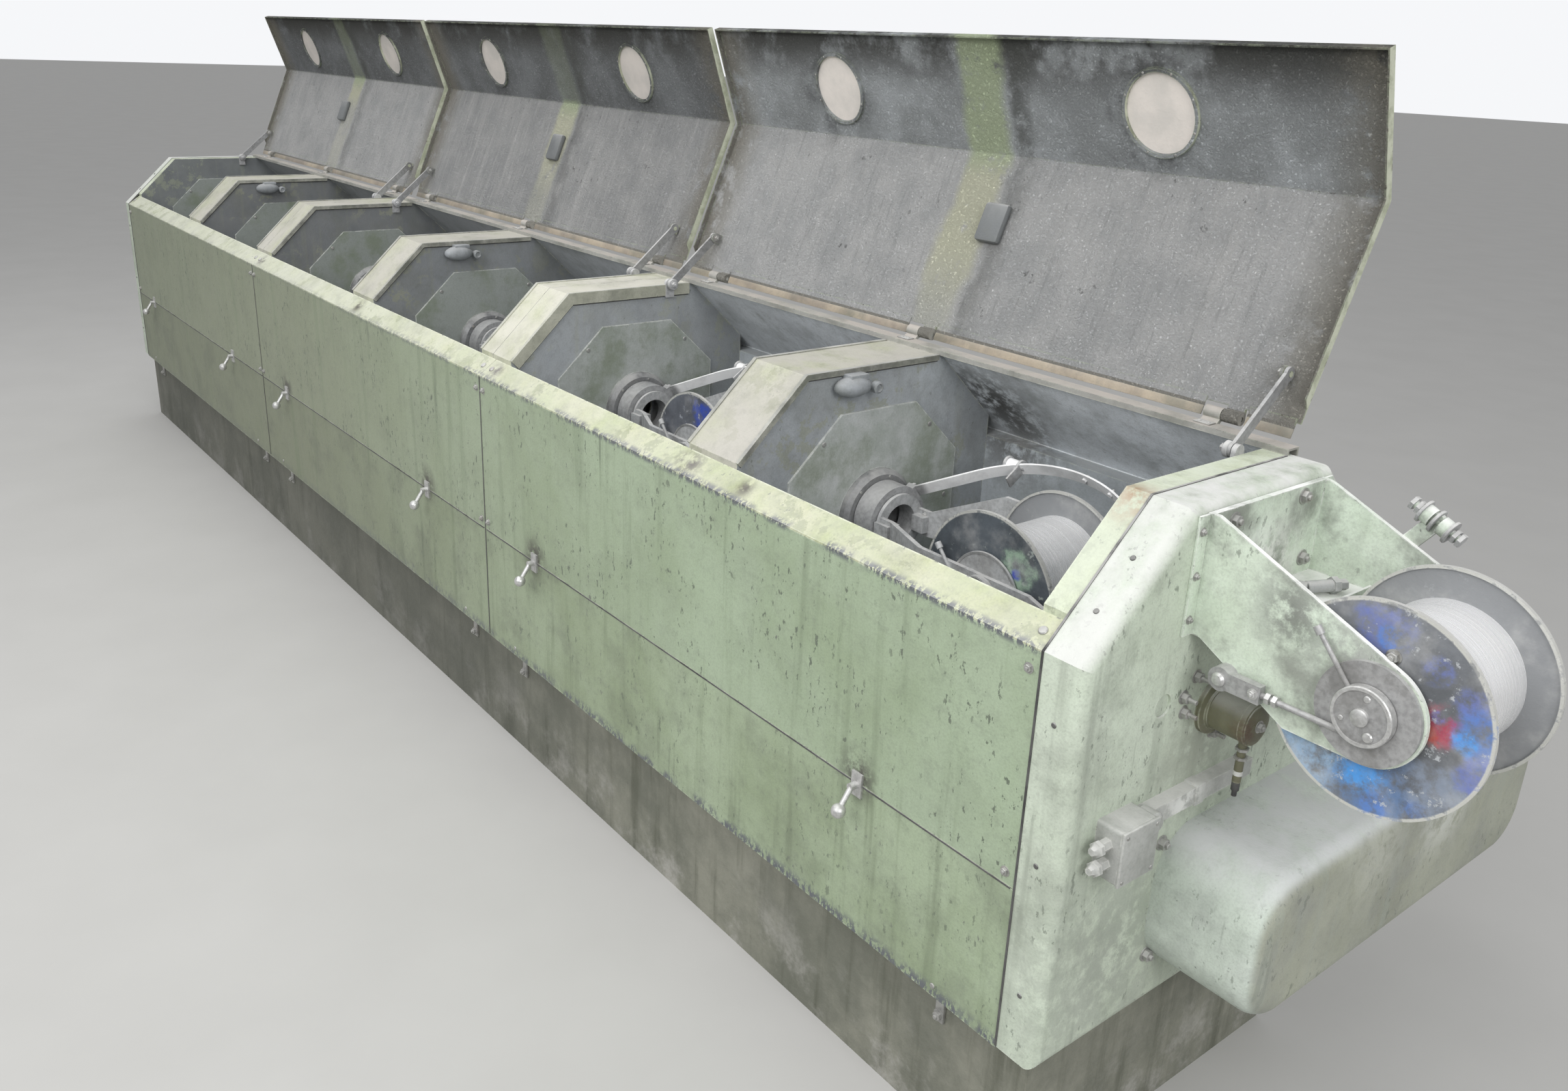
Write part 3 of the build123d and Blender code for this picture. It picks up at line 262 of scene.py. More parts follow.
def steel(name, tone, dust=0.4, rough=0.38, grime=0.3, rust=0.0, metal=0.85, outer=None):
    """Bare or oiled steel with dust on top; outer is the tone of what runs far from the rotor axis."""
    s = Shader(name)
    grain = s.noise(90, 3, 0.6)
    s.color = s.mix(s.step(grain, 0.35, 0.7), tone, shade(tone, 0.72))
    if outer:
        away = s.distance(AXIS, (0, 1, 1))
        s.lay(outer, s.step(away, 0.118, 0.135))
    oiled = s.times(s.cloud(0.42, 0.66, 11, 5, 0.65), grime)
    s.lay(OIL, oiled)
    if rust:
        s.lay(RUST, s.cloud(0.52, 0.68, 15, 6, 0.7), rust)
    up = s.step(s.axis("Z", "Normal"), 0.1, 0.9)
    settled = s.times(s.math("ADD", up, 0.2), s.cloud(0.25, 0.6, 14, 5, 0.6), dust)
    s.lay(DUST, settled)
    s.bump((grain, 0.0004), (s.noise(30, 4, 0.6), 0.0006))
    hidden = s.math("ADD", settled, oiled)
    return s.finish(s.blend(hidden, rough, 0.9), s.blend(hidden, metal, 0.0))


SAGE = (0.35, 0.43, 0.30)
SAGE_DEEP = (0.275, 0.345, 0.22)
OLIVE = (0.24, 0.265, 0.185)
PALE = (0.43, 0.48, 0.26)
LIME = (0.54, 0.55, 0.37)
GREY = (0.42, 0.45, 0.475)
SOOT = (0.055, 0.05, 0.042)
STAIN = (0.03, 0.018, 0.01)
LATCHES = (3.07, 1.53, 0.71, -0.83)
STAINS = ((2.571, 0.045), (2.345, 0.06), (2.305, 0.05), (1.24, 0.05), (0.06, 0.05), (-1.12, 0.05))

# Paints of the fixed pieces; a patch is a centre, a radius, a tone and an amount
latch_marks = tuple(((x, -WALL, SEAM + 0.02), 0.095, SOOT, 1.0) for x in LATCHES)
strip_stains = tuple(((x, -0.484, 1.332), radius, STAIN, 1.0) for x, radius in STAINS)
panel_paint = paint(
    "panel_paint", SAGE, SAGE_DEEP, far=OLIVE, dust=0.25, chip=0.9, streak=0.45, dents=0.012, rough=0.45,
    band=(1.284, 1.300), runs=0.85, patches=latch_marks, grime=0.12)
lower_paint = paint(
    "lower_paint", (0.345, 0.42, 0.285), (0.25, 0.31, 0.19), far=(0.20, 0.22, 0.15), dust=0.25, chip=0.75,
    streak=0.55, grime=0.3, dents=0.012, band=(0.425, 0.392), runs=0.6, patches=latch_marks)
strip_paint = paint(
    "strip_paint", LIME, PALE, far=(0.51, 0.53, 0.395), dust=0.3, chip=0.9, edge=0.8, mottle=6.0, grime=0.25,
    band=(1.316, 1.306), patches=strip_stains, flakes=0.7)
bulkhead_paint = paint(
    "bulkhead_paint", (0.46, 0.45, 0.395), (0.42, 0.44, 0.295), dust=0.7, chip=0.8, edge=0.85, mottle=4.0,
    edge_color=(0.66, 0.68, 0.54), grime=0.3, side=("X", 0.55, 0.85, GREY), dust_tone=(0.47, 0.45, 0.41),
    flakes=0.5)
pale_bulkhead = paint(
    "pale_bulkhead", (0.56, 0.55, 0.48), (0.50, 0.52, 0.36), dust=0.7, chip=0.8, edge=0.85, mottle=4.0,
    edge_color=(0.70, 0.72, 0.58), grime=0.25, side=("X", 0.55, 0.85, GREY), dust_tone=(0.60, 0.58, 0.52),
    flakes=0.4)
lip_paint = paint(
    "lip_paint", (0.36, 0.36, 0.31), (0.15, 0.15, 0.135), chip=1.0, grime=0.8, mottle=15.0,
    edge_color=(0.42, 0.42, 0.34))
pale_lip_paint = paint(
    "pale_lip_paint", (0.44, 0.44, 0.36), (0.34, 0.345, 0.27), chip=0.8, edge=0.4, grime=0.5, mottle=8.0)
rim_paint = paint(
    "rim_paint", (0.56, 0.61, 0.45), (0.44, 0.48, 0.34), chip=0.9, edge=0.6, flakes=0.5, grime=0.15,
    side=("X", 0.55, 0.85, GREY), dust_tone=(0.68, 0.72, 0.63),
    patches=(((3.51, -0.26, 1.555), 0.09, (0.27, 0.12, 0.04), 1.0),))
inside_paint = paint(
    "inside_paint", (0.50, 0.54, 0.57), (0.38, 0.41, 0.43), dust=0.4, chip=0.2, edge=0.35, streak=0.2,
    grime=0.18, patches=(((2.60, 0.42, 1.38), 0.30, SOOT, 1.0), ((-1.10, 0.42, 1.36), 0.25, SOOT, 0.8)))
plate_paint = paint(
    "plate_paint", (0.49, 0.51, 0.50), (0.36, 0.39, 0.36), far=(0.25, 0.275, 0.255), dust=0.35, chip=0.3,
    edge=0.9, edge_color=(0.76, 0.77, 0.74), grime=0.6, grime_tone=(0.145, 0.18, 0.105), mottle=9.0)
cover_paint = paint(
    "cover_paint", (0.56, 0.63, 0.515), (0.455, 0.515, 0.41), dust=0.85, dust_low=-0.02, chip=0.9, streak=0.6,
    grime=0.3, runs=0.65, edge=0.6, edge_color=(0.66, 0.68, 0.60), dust_tone=(0.64, 0.64, 0.62),
    patches=(((3.66, -0.30, 0.60), 0.42, (0.28, 0.31, 0.26), 0.8),
             ((3.66, -0.10, 1.02), 0.20, (0.26, 0.28, 0.22), 0.7)))
# The guard's faces turned along X take a darker tone: painted shade.
guard_paint = paint(
    "guard_paint", (0.66, 0.72, 0.65), (0.47, 0.53, 0.46), dust=0.85, chip=0.8, streak=0.35, grime=0.35,
    edge=0.3, dust_tone=(0.56, 0.57, 0.57), side=("X", 0.5, 0.85, (0.345, 0.36, 0.28)), runs=0.5,
    grime_tone=(0.22, 0.23, 0.22),
    patches=(((4.05, 0.25, 0.77), 0.24, (0.74, 0.76, 0.70), 0.7),
             ((3.90, 0.55, 0.77), 0.18, (0.70, 0.72, 0.68), 0.6)))
bracket_paint = paint(
    "bracket_paint", (0.63, 0.72, 0.60), (0.52, 0.60, 0.48), dust=0.9, chip=0.9, grime=0.8, edge=0.9,
    edge_color=(0.70, 0.71, 0.68), runs=0.6, grime_tone=(0.15, 0.16, 0.135), mottle=5.0,
    dust_tone=(0.80, 0.80, 0.78),
    patches=(((3.84, -0.225, 1.42), 0.13, (0.16, 0.17, 0.15), 1.0),
             ((3.97, -0.225, 1.37), 0.12, (0.27, 0.28, 0.26), 0.9),
             ((3.72, 0.0, 1.36), 0.20, (0.90, 0.90, 0.86), 1.0)))
rail_paint = paint(
    "rail_paint", (0.40, 0.40, 0.37), (0.30, 0.30, 0.28), dust=0.9, dust_low=-0.2, chip=0.7, edge=0.4,
    dust_tone=(0.42, 0.39, 0.355), grime=0.5)
back_paint = paint(
    "back_paint", SAGE_DEEP, OLIVE, chip=0.4, streak=0.2, grime=0.3, dents=0.010,
    side=("Y", -0.2, -0.5, (0.92, 0.96, 1.0)),
    patches=(((2.58, 0.36, 1.42), 0.26, (0.04, 0.038, 0.035), 1.0), ((2.62, 0.42, 1.30), 0.16, SOOT, 0.9)))
housing_paint = paint(
    "housing_paint", (0.165, 0.165, 0.09), (0.10, 0.095, 0.055), grime=0.95, grime_tone=(0.075, 0.06, 0.04),
    patches=(((3.75, -0.12, 1.10), 0.055, (0.085, 0.045, 0.025), 1.0),))
# The pale patch on the duct is painted light, lifting it out of the shade under the bracket.
box_paint = paint(
    "box_paint", (0.45, 0.455, 0.43), (0.36, 0.37, 0.35), dust=0.8, chip=0.4, edge=0.7, grime=0.4,
    edge_color=(0.66, 0.66, 0.62), patches=(((3.67, -0.17, 0.92), 0.12, (0.70, 0.71, 0.68), 0.9),))

# Paints of the small details
tan_strip = paint(
    "tan_strip", (0.38, 0.32, 0.24), (0.22, 0.185, 0.15), dust=0.25, edge=0.1, grime=0.5, mottle=6.0)
pad_paint = paint(
    "pad_paint", (0.13, 0.14, 0.145), (0.10, 0.105, 0.11), chip=0.1, edge=0.3, edge_color=(0.3, 0.3, 0.3))
white_plastic = paint("white_plastic", (0.62, 0.62, 0.60), (0.55, 0.55, 0.52), dust=0.3, chip=0.0, edge=0.1)
crown_trim = paint(
    "crown_trim", (0.33, 0.35, 0.37), (0.22, 0.235, 0.245), edge=0.4, grime=0.5, mottle=9.0,
    dust_tone=(0.36, 0.36, 0.36), edge_color=(0.45, 0.45, 0.44))
dusty_trim = paint(
    "dusty_trim", (0.34, 0.35, 0.345), (0.24, 0.25, 0.245), dust=0.75, chip=0.3, edge=0.4, grime=0.4,
    mottle=9.0, dust_tone=(0.52, 0.515, 0.50), edge_color=(0.55, 0.55, 0.53))

dusty_steel = steel("dusty_steel", (0.50, 0.505, 0.51), dust=0.6, grime=0.55, metal=0.35, rough=0.45)
# The stays' steel is a darker copy of the dusty steel: painted shade.
stay_steel_painted_shade = steel("stay_steel_painted_shade", (0.32, 0.325, 0.33), dust=0.45, grime=0.5, metal=0.3, rough=0.5)
brake_steel = steel("brake_steel", (0.40, 0.40, 0.40), dust=0.35, grime=0.5, metal=0.45, rough=0.4)
rotor_steel = steel(
    "rotor_steel", (0.36, 0.365, 0.37), dust=0.35, grime=0.25, metal=0.1, rough=0.5, outer=(1.0, 1.0, 1.0))
cradle_steel = steel("cradle_steel", (0.46, 0.47, 0.475), dust=0.5, grime=0.45, metal=0.15, rough=0.6)
ring_steel = steel("ring_steel", (0.225, 0.23, 0.235), dust=0.5, grime=0.4, metal=0.3, rough=0.5)
dark_steel = steel("dark_steel", (0.16, 0.16, 0.155), dust=0.45, grime=0.5, rough=0.45)
bright_steel = steel("bright_steel", (0.62, 0.62, 0.61), dust=0.3, grime=0.2, rough=0.28, metal=0.75)
bolt_steel = steel("bolt_steel", (0.42, 0.42, 0.40), dust=0.5, rust=0.25, metal=0.7)
rubber = steel("old_rubber", (0.035, 0.035, 0.035), dust=0.5, rough=0.7, metal=0.0)


def plinth_material():
    """Grimy olive base with oil runs and pale scuffs."""
    s = Shader("plinth_grime")
    s.color = s.mix(s.cloud(0.35, 0.65, 3.1, 6, 0.65), (0.245, 0.245, 0.20), (0.145, 0.15, 0.12))
    s.lay((0.075, 0.08, 0.055), s.cloud(0.5, 0.72, 16, 4, 0.65, (1, 1, 0.08)), 0.6)
    pale = (s.cloud(0.48, 0.7, 5, 6, 0.7), s.step(s.axis("Z"), 0.34, 0.02), 0.7)
    s.lay((0.42, 0.41, 0.38), *pale)
    s.lay((0.070, 0.072, 0.062), s.step(s.axis("X"), 2.4, 0.6), 0.6)
    s.lay(DUST, s.step(s.axis("Z", "Normal"), 0.2, 0.9), 0.7)
    s.bump((s.noise(45, 5, 0.7), 0.003), (s.noise(7, 4, 0.6), 0.006))
    return s.finish(0.85)


def winding_material(name):
    """Drawn wire laid in close turns along the bobbin's axis."""
    s = Shader(name, Metallic=0.5)
    turns = {"Vector": s.scaled(), "Scale": 78.0, "Distortion": 0.0, "Detail": 0.0}
    height = s.node("TexWave", turns, bands_direction="Y", wave_profile="SIN").outputs["Fac"]
    layers = s.noise(170, 3, 0.7, (0.012, 1, 0.012))
    s.color = s.mix(s.step(height, 0.0, 0.4), (0.90, 0.895, 0.89), (1.0, 1.0, 1.0))
    s.lay((0.76, 0.76, 0.76), s.step(layers, 0.40, 0.62), 0.4)
    s.bump((height, 0.0003), (layers, 0.0006))
    return s.finish(s.blend(layers, 0.2, 0.36))


def bobbin_material(name, centre, tones, spots):
    """Painted bobbin flange: worn dark paint, bright chipped rim and coloured patches."""
    s = Shader(name, Specular_IOR_Level=0.4)
    base, scrape = tones
    s.color = s.mix(s.cloud(0.4, 0.66, 7, 5, 0.65), base, shade(base, 0.6))
    for place, radius, tone, amount in spots:
        middle = [c + p for c, p in zip(centre, place)]
        area = s.step(s.near(middle, radius, ragged=radius * 1.5), 0.05, 0.6)
        s.lay(tone, area, s.cloud(0.34, 0.60, 21, 6, 0.72), amount)
    scratched = s.noise(31, 6, 0.75)
    s.lay(scrape, s.step(scratched, 0.60, 0.66), 0.8)
    s.lay((0.255, 0.262, 0.268), s.step(s.axis("Y"), centre[1] + 0.09, centre[1] + 0.11), 0.85)
    radius = s.distance(centre, (1, 0, 1))
    rim = s.times(s.step(radius, 0.1925, 0.1965), s.math("ADD", s.cloud(0.36, 0.55, 40, 4, 0.7), 0.3))
    s.lay((0.62, 0.62, 0.58), rim)
    s.lay((0.35, 0.35, 0.34), s.step(radius, 0.052, 0.046), 0.8)
    up = s.times(s.step(s.axis("Z", "Normal"), 0.3, 0.95), 0.6)
    s.lay(DUST, s.math("MAXIMUM", up, s.times(s.cloud(0.45, 0.75, 12, 5, 0.6), 0.3)))
    s.bump((s.noise(120, 3, 0.6), 0.0006), (scratched, 0.0008))
    return s.finish(0.62, s.times(rim, 0.5))


def lid_material(name, middle, main_shade, upper_shade, fade, upper_stripe):
    """Lid: caked grey dust inside, a clean stripe at mid length, plain paint outside.
    The panel and pane tones are scaled per lid as painted light and shade.
    """
    s = Shader(name, Specular_IOR_Level=0.3)
    offset = s.math("SUBTRACT", s.axis("X"), middle)
    height = s.axis("Z")
    inward = s.times(s.axis("X", "Normal"), s.math("SIGN", offset))
    inside = s.math("MAXIMUM", s.step(s.axis("Y", "Normal"), 0.05, -0.25), s.step(inward, -0.5, -0.8))
    lumps = s.noise(120, 6, 0.75)

    # Outside: sage paint with light dust
    green = s.mix(s.cloud(0.38, 0.64, 4, 5, 0.6), (0.34, 0.40, 0.285), (0.255, 0.305, 0.21))
    green = s.over(green, (0.50, 0.505, 0.47), s.cloud(0.40, 0.68, 9, 6, 0.65), 0.5)

    # Main panel: grey dust with streaks, scratches, pits and specks, its tones scaled by main_shade as
    # painted light and shade
    s.color = s.mix(s.cloud(0.35, 0.68, 7, 6, 0.6), shade((0.47, 0.47, 0.465), main_shade),
                    shade((0.385, 0.39, 0.39), main_shade))
    s.lay((0.60, 0.595, 0.58), s.cloud(0.5, 0.72, 15, 4, 0.6, (1, 0.1, 0.06)), 0.4)
    scratches = s.noise(75, 5, 0.75, (1, 0.13, 0.09))
    s.lay((0.62, 0.615, 0.60), s.step(scratches, 0.52, 0.66), 0.4)
    s.lay((0.26, 0.265, 0.265), s.step(scratches, 0.46, 0.34), 0.35)
    s.lay((0.23, 0.235, 0.24), s.step(lumps, 0.50, 0.36), 0.5)
    specks = (s.cloud(0.62, 0.67, 48, 4, 0.7, (1, 1, 0.7)), s.cloud(0.46, 0.62, 4, 3), 0.75)
    s.lay((0.15, 0.15, 0.145), *specks)

    # Upper panel: darker, its tones scaled by upper_shade as painted light and shade, with a sooty top edge
    upper = s.mix(s.cloud(0.34, 0.62, 4.2, 5, 0.65), shade((0.44, 0.465, 0.48), upper_shade),
                  shade((0.27, 0.285, 0.29), upper_shade))
    upper = s.over(upper, (0.52, 0.54, 0.545), s.step(lumps, 0.5, 0.64), 0.35)
    s.lay(upper, s.step(height, 2.070, 2.086), 0.93)
    s.lay((0.075, 0.075, 0.067), s.cloud(0.32, 0.52, 6, 5, 0.65), s.step(height, 2.21, 2.36), 0.9)

    # Clean stripe with a wavy outline, and the dark band on its right: a stain on the upper panel, and
    # painted shadow of the catch pad at half strength on the main panel
    wave = s.math("MULTIPLY", s.math("SUBTRACT", s.noise(5, 4, 0.6), 0.5), 0.09)
    wobble = s.math("ADD", s.math("SUBTRACT", offset, 0.012), wave)
    stain_and_shadow_band = (s.step(wobble, 0.08, 0.11), s.step(wobble, 0.21, 0.12), s.cloud(0.30, 0.55, 13, 5, 0.7), 0.75,
             s.blend(s.step(height, 2.06, 2.1), 0.5, 1.0))
    s.lay((0.105, 0.11, 0.10), *stain_and_shadow_band)
    stripe = (s.step(s.math("ABSOLUTE", wobble), 0.095, 0.055), s.cloud(0.26, 0.46, 17, 5, 0.7), 0.85,
              s.blend(s.step(height, *fade), 0.3, 1.0), s.blend(s.step(height, 2.07, 2.1), 1.0, upper_stripe))
    stripe_tone = s.mix(s.step(height, 2.0, 2.09), (0.62, 0.62, 0.46), (0.50, 0.58, 0.37))
    s.lay(stripe_tone, *stripe)

    # Brown ends and the soot round the portholes
    end = s.step(s.math("ABSOLUTE", offset), 0.98, LID_HALF)
    s.lay((0.25, 0.235, 0.195), end, s.cloud(0.32, 0.50, 11, 5, 0.7), 0.85)
    for bay in BAY_OFFSETS:
        ring = s.step(s.distance((middle + bay - 0.03, 0.44, 2.20)), 0.19, 0.10)
        s.lay((0.12, 0.125, 0.125), ring, s.cloud(0.44, 0.62, 9, 5, 0.7), 0.6)
    s.color = s.mix(inside, green, s.color)

    # End faces, worn edges and the hinge barrels
    ends = s.mix(s.cloud(0.42, 0.62, 21, 5, 0.7), (0.52, 0.54, 0.43), (0.36, 0.38, 0.28))
    s.lay(ends, s.step(inward, 0.6, 0.8))
    rim = s.edges()
    s.lay((0.50, 0.56, 0.40), rim, s.cloud(0.40, 0.6, 30, 5, 0.7), 0.7)
    s.lay((0.10, 0.09, 0.07), rim, s.cloud(0.58, 0.64, 44, 5, 0.7))
    s.lay((0.30, 0.29, 0.26), s.step(s.distance(HINGE, (0, 1, 1)), 0.0185, 0.0165))

    # Dusty panes: their bright tone is painted light shining through the glass, and pane_shade dims it as
    # painted shade on the darker lids
    panes = 0.0
    pane_shade = 0.82 if upper_shade < 1 else 1.0
    grains = s.node("TexVoronoi", {"Vector": s.scaled(), "Scale": 190.0}).outputs["Distance"]
    glass_with_painted_light = s.mix(s.cloud(0.35, 0.7, 9, 5, 0.6), shade((0.72, 0.67, 0.62), pane_shade),
                  shade((0.60, 0.57, 0.53), pane_shade))
    glass_with_painted_light = s.over(glass_with_painted_light, (0.50, 0.47, 0.42), s.step(grains, 0.26, 0.12), 0.2)
    for bay in BAY_OFFSETS:
        pane = s.step(s.distance((middle + bay, 0.4425, 2.2198)), 0.0998, 0.0990)
        panes = s.math("MAXIMUM", pane, panes)
        s.lay(glass_with_painted_light, pane)
    caked = s.times(inside, s.step(lumps, 0.36, 0.68), s.math("SUBTRACT", 1.0, panes))
    s.bump((caked, 0.005), (s.noise(150, 3, 0.6), 0.0008), (s.noise(3, 2, 0.4), 0.004))
    return s.finish(s.blend(inside, 0.5, 0.95))


def dress(node, material):
    mesh = nodes[node].data
    mesh.materials.clear()
    mesh.materials.append(material)


for node, material in {
    "upper_front_panels": panel_paint, "lower_front_panels": lower_paint, "top_strips": strip_paint,
    "front_wall": inside_paint, "back_wall": inside_paint, "trough_floor": inside_paint,
    "back_cover": back_paint, "end_walls": rim_paint, "access_plates": plate_paint,
    "bearing_rings": ring_steel, "near_end_cover": cover_paint, "far_end_cover": cover_paint,
    "hinge_rail": rail_paint, "stay_brackets": dusty_steel, "payoff_bracket": bracket_paint,
    "payoff_brake": brake_steel, "drive_guard": guard_paint, "shaft_housing": housing_paint,
    "switch_box": box_paint, "latches": bright_steel, "plinth": plinth_material(),
}.items():
    dress(node, material)
PALE_BULKHEAD = 4
for number in range(1, 6):
    dress("bulkhead_%d" % number, pale_bulkhead if number == PALE_BULKHEAD else bulkhead_paint)
for number in range(1, 7):
    dress("rotor_%d" % number, rotor_steel)
    dress("cradle_%d" % number, cradle_steel)
for number in range(1, 4):
    dress("lid_stays_%d" % number, stay_steel_painted_shade)

# Bobbins: base and scrape tones, and patches counted from the middle
spool_paints = (
    ((0.17, 0.20, 0.17), (0.40, 0.42, 0.38)),
    ((0.13, 0.15, 0.17), (0.38, 0.40, 0.42)),
    ((0.20, 0.19, 0.17), (0.42, 0.42, 0.40)),
    ((0.12, 0.17, 0.15), (0.36, 0.40, 0.36)),
    ((0.12, 0.13, 0.15), (0.36, 0.38, 0.42)),
    ((0.09, 0.105, 0.12), (0.36, 0.40, 0.37)),
)
even_spots = (((0.085, -0.13, 0.095), 0.075, (0.32, 0.44, 0.33), 0.95),
              ((0.082, -0.13, 0.080), 0.022, (0.03, 0.06, 0.42), 1.0))
odd_spots = (((0.05, -0.13, 0.14), 0.085, (0.03, 0.07, 0.40), 0.9),
             ((0.11, -0.13, 0.09), 0.045, (0.42, 0.03, 0.03), 0.9))
for number, (x, tones) in enumerate(zip(BOBBIN_MIDDLES, spool_paints), 1):
    spots = odd_spots if number % 2 else even_spots
    middle = (x, BOBBIN_SIDE, AXIS.z)
    dress("bobbin_%d" % number, bobbin_material("bobbin_paint_%d" % number, middle, tones, spots))
    dress("wire_%d" % number, winding_material("winding_%d" % number))
BLUE = (0.10, 0.21, 0.52)
VIOLET = (0.14, 0.18, 0.44)
AZURE = (0.075, 0.30, 0.70)
FLANGE_SIDE = -0.134
payoff_spots = [((x, FLANGE_SIDE, z), *rest) for x, z, *rest in (
    (-0.11, -0.12, 0.15, (0.27, 0.40, 0.56), 1.0),
    (0.03, -0.15, 0.14, (0.12, 0.20, 0.36), 0.9),
    (-0.005, -0.13, 0.075, AZURE, 1.0),
    (0.03, -0.175, 0.05, BLUE, 1.0),
    (0.10, -0.15, 0.035, BLUE, 0.9),
    (0.13, -0.11, 0.10, (0.23, 0.27, 0.34), 0.9),
    (-0.02, 0.150, 0.075, VIOLET, 0.8),
    (0.0, 0.135, 0.03, BLUE, 1.0),
    (0.085, 0.11, 0.04, VIOLET, 0.9),
    (0.155, 0.075, 0.045, VIOLET, 0.9),
    (0.170, 0.02, 0.07, BLUE, 0.85),
    (0.185, -0.04, 0.06, VIOLET, 0.9),
    (0.108, 0.008, 0.062, (0.36, 0.05, 0.09), 1.0),
    (0.094, -0.008, 0.038, (0.48, 0.07, 0.04), 1.0),
    (0.150, 0.006, 0.038, AZURE, 1.0),
    (0.104, 0.032, 0.018, BLUE, 1.0),
)]
payoff_tones = ((0.175, 0.185, 0.20), (0.46, 0.48, 0.50))
dress("payoff_bobbin", bobbin_material("payoff_bobbin_paint", PAYOFF, payoff_tones, payoff_spots))
dress("payoff_wire", winding_material("payoff_winding"))

# Lids: painted light and shade of the main and upper panels as factors on their tones, heights of the
# stripe's fade, and its strength above
LID_LOOKS = (
    (1.12, 0.48, (1.90, 2.00), 0.3),
    (0.92, 0.56, (1.66, 1.92), 0.2),
    (1.24, 1.24, (1.60, 1.85), 1.0),
)
lid_dust_and_painted_shading = {}
for number, (middle, looks) in enumerate(zip(MODULE_MIDDLES, LID_LOOKS), 1):
    lid_dust_and_painted_shading[number] = lid_material("lid_dust_%d" % number, middle, *looks)
    dress("lid_%d" % number, lid_dust_and_painted_shading[number])


class Build:
    """Collects small solids into one mesh piece, placed as in the CAD."""

    def __init__(self, name):
        self.name = name
        self.form = bmesh.new()

    def ring(self, centre, side, other, radius, sides):
        """Points round a centre, in the plane of two unit vectors."""
        made = []
        for step in range(sides):
            angle = 2 * pi * step / sides
            made.append(self.form.verts.new(centre + radius * (cos(angle) * side + sin(angle) * other)))
        return made

    def skin(self, rings):
        """Faces between rings of as many points, with a cap on each end."""
        for low, high in zip(rings, rings[1:]):
            for step in range(len(low)):
                after = (step + 1) % len(low)
                self.form.faces.new((low[step], low[after], high[after], high[step]))
        self.form.faces.new(rings[0][::-1])
        self.form.faces.new(rings[-1])

    def lathe(self, base, axis, profile, sides=20):
        """Turned form: profile holds (radius, distance along the axis) from start to end."""
        axis = Vector(axis).normalized()
        side = axis.orthogonal().normalized()
        other = axis.cross(side)
        base = Vector(base)
        self.skin([self.ring(base + axis * along, side, other, radius, sides) for radius, along in profile])

    def rod(self, start, end, radius):
        """Round bar with chamfered ends."""
        along = Vector(end) - Vector(start)
        length = along.length
        bevel = min(radius, length) * 0.12
        self.lathe(start, along, ((radius - bevel, 0), (radius, bevel), (radius, length - bevel),
                                  (radius - bevel, length)))

    def bolt(self, place, axis, radius, height):
        """Hexagon head on a washer, with its stud end."""
        axis = Vector(axis).normalized()
        place = Vector(place) - axis * SUNK
        washer = radius * 0.2
        top = washer + height
        self.lathe(place, axis, ((radius * 1.35, 0), (radius * 1.35, washer), (radius * 1.15, washer * 1.1)))
        self.lathe(place, axis, ((radius, washer), (radius, top - 0.001), (radius * 0.86, top)), 6)
        self.lathe(place, axis, ((radius * 0.5, top - 0.0005), (radius * 0.5, top + height * 0.4),
                                 (radius * 0.4, top + height * 0.5)), 12)

    def screw(self, place, axis, radius):
        """Low domed head."""
        axis = Vector(axis).normalized()
        profile = [(radius * out, radius * up) for out, up in ((1, 0), (1, 0.2), (0.8, 0.42), (0.25, 0.5))]
        self.lathe(Vector(place) - axis * SUNK, axis, profile, 16)

    def box(self, centre, size, turn=None, bevel=0.0015):
        """Block with rounded edges."""
        others = set(self.form.verts)
        cube = bmesh.ops.create_cube(self.form, size=1.0)["verts"]
        for vert in cube:
            vert.co = Vector([c * s for c, s in zip(vert.co, size)])
        edges = list(dict.fromkeys(edge for vert in cube for edge in vert.link_edges))
        bmesh.ops.bevel(self.form, geom=edges, offset=bevel, segments=2, profile=0.5, affect="EDGES")
        for vert in set(self.form.verts) - others:
            vert.co = (turn @ vert.co if turn else vert.co) + Vector(centre)

    def tube(self, points, radius):
        """Round bar along points, with mitred corners."""
        points = [Vector(point) for point in points]
        rings = []
        side = None
        for number, point in enumerate(points):
            before = (point - points[number - 1]).normalized() if number else None
            after = (points[number + 1] - point).normalized() if number + 1 < len(points) else None
            along = ((before or after) + (after or before)).normalized()
            side = (side - along * side.dot(along)).normalized() if side else along.orthogonal().normalized()
            rings.append(self.ring(point, side, along.cross(side), radius, 12))
        self.skin(rings)

    def slab(self, outline, along):
        """Closed outline of 3-D points, drawn out along a vector."""
        low = [self.form.verts.new(point) for point in outline]
        high = [self.form.verts.new(vert.co + along) for vert in low]
        self.skin([low, high])

    def ball(self, centre, radii):
        sphere = bmesh.ops.create_uvsphere(self.form, u_segments=20, v_segments=10, radius=1.0)
        for vert in sphere["verts"]:
            vert.co = Vector([c * r for c, r in zip(vert.co, radii)]) + Vector(centre)

    def done(self, material, body="trough"):
        bmesh.ops.recalc_face_normals(self.form, faces=self.form.faces)
        mesh = bpy.data.meshes.new(self.name)
        self.form.to_mesh(mesh)
        self.form.free()
        for face in mesh.polygons:
            face.use_smooth = True
        mesh.set_sharp_from_angle(angle=SMOOTH_ANGLE)
        mesh.materials.append(material)
        made = bpy.data.objects.new(self.name, mesh)
        scene.collection.objects.link(made)
        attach(made, body)


def chamfer_height(side):
    return CROWN - (side - CROWN_HALF) * (CROWN - SHOULDER) / (WALL - CROWN_HALF)


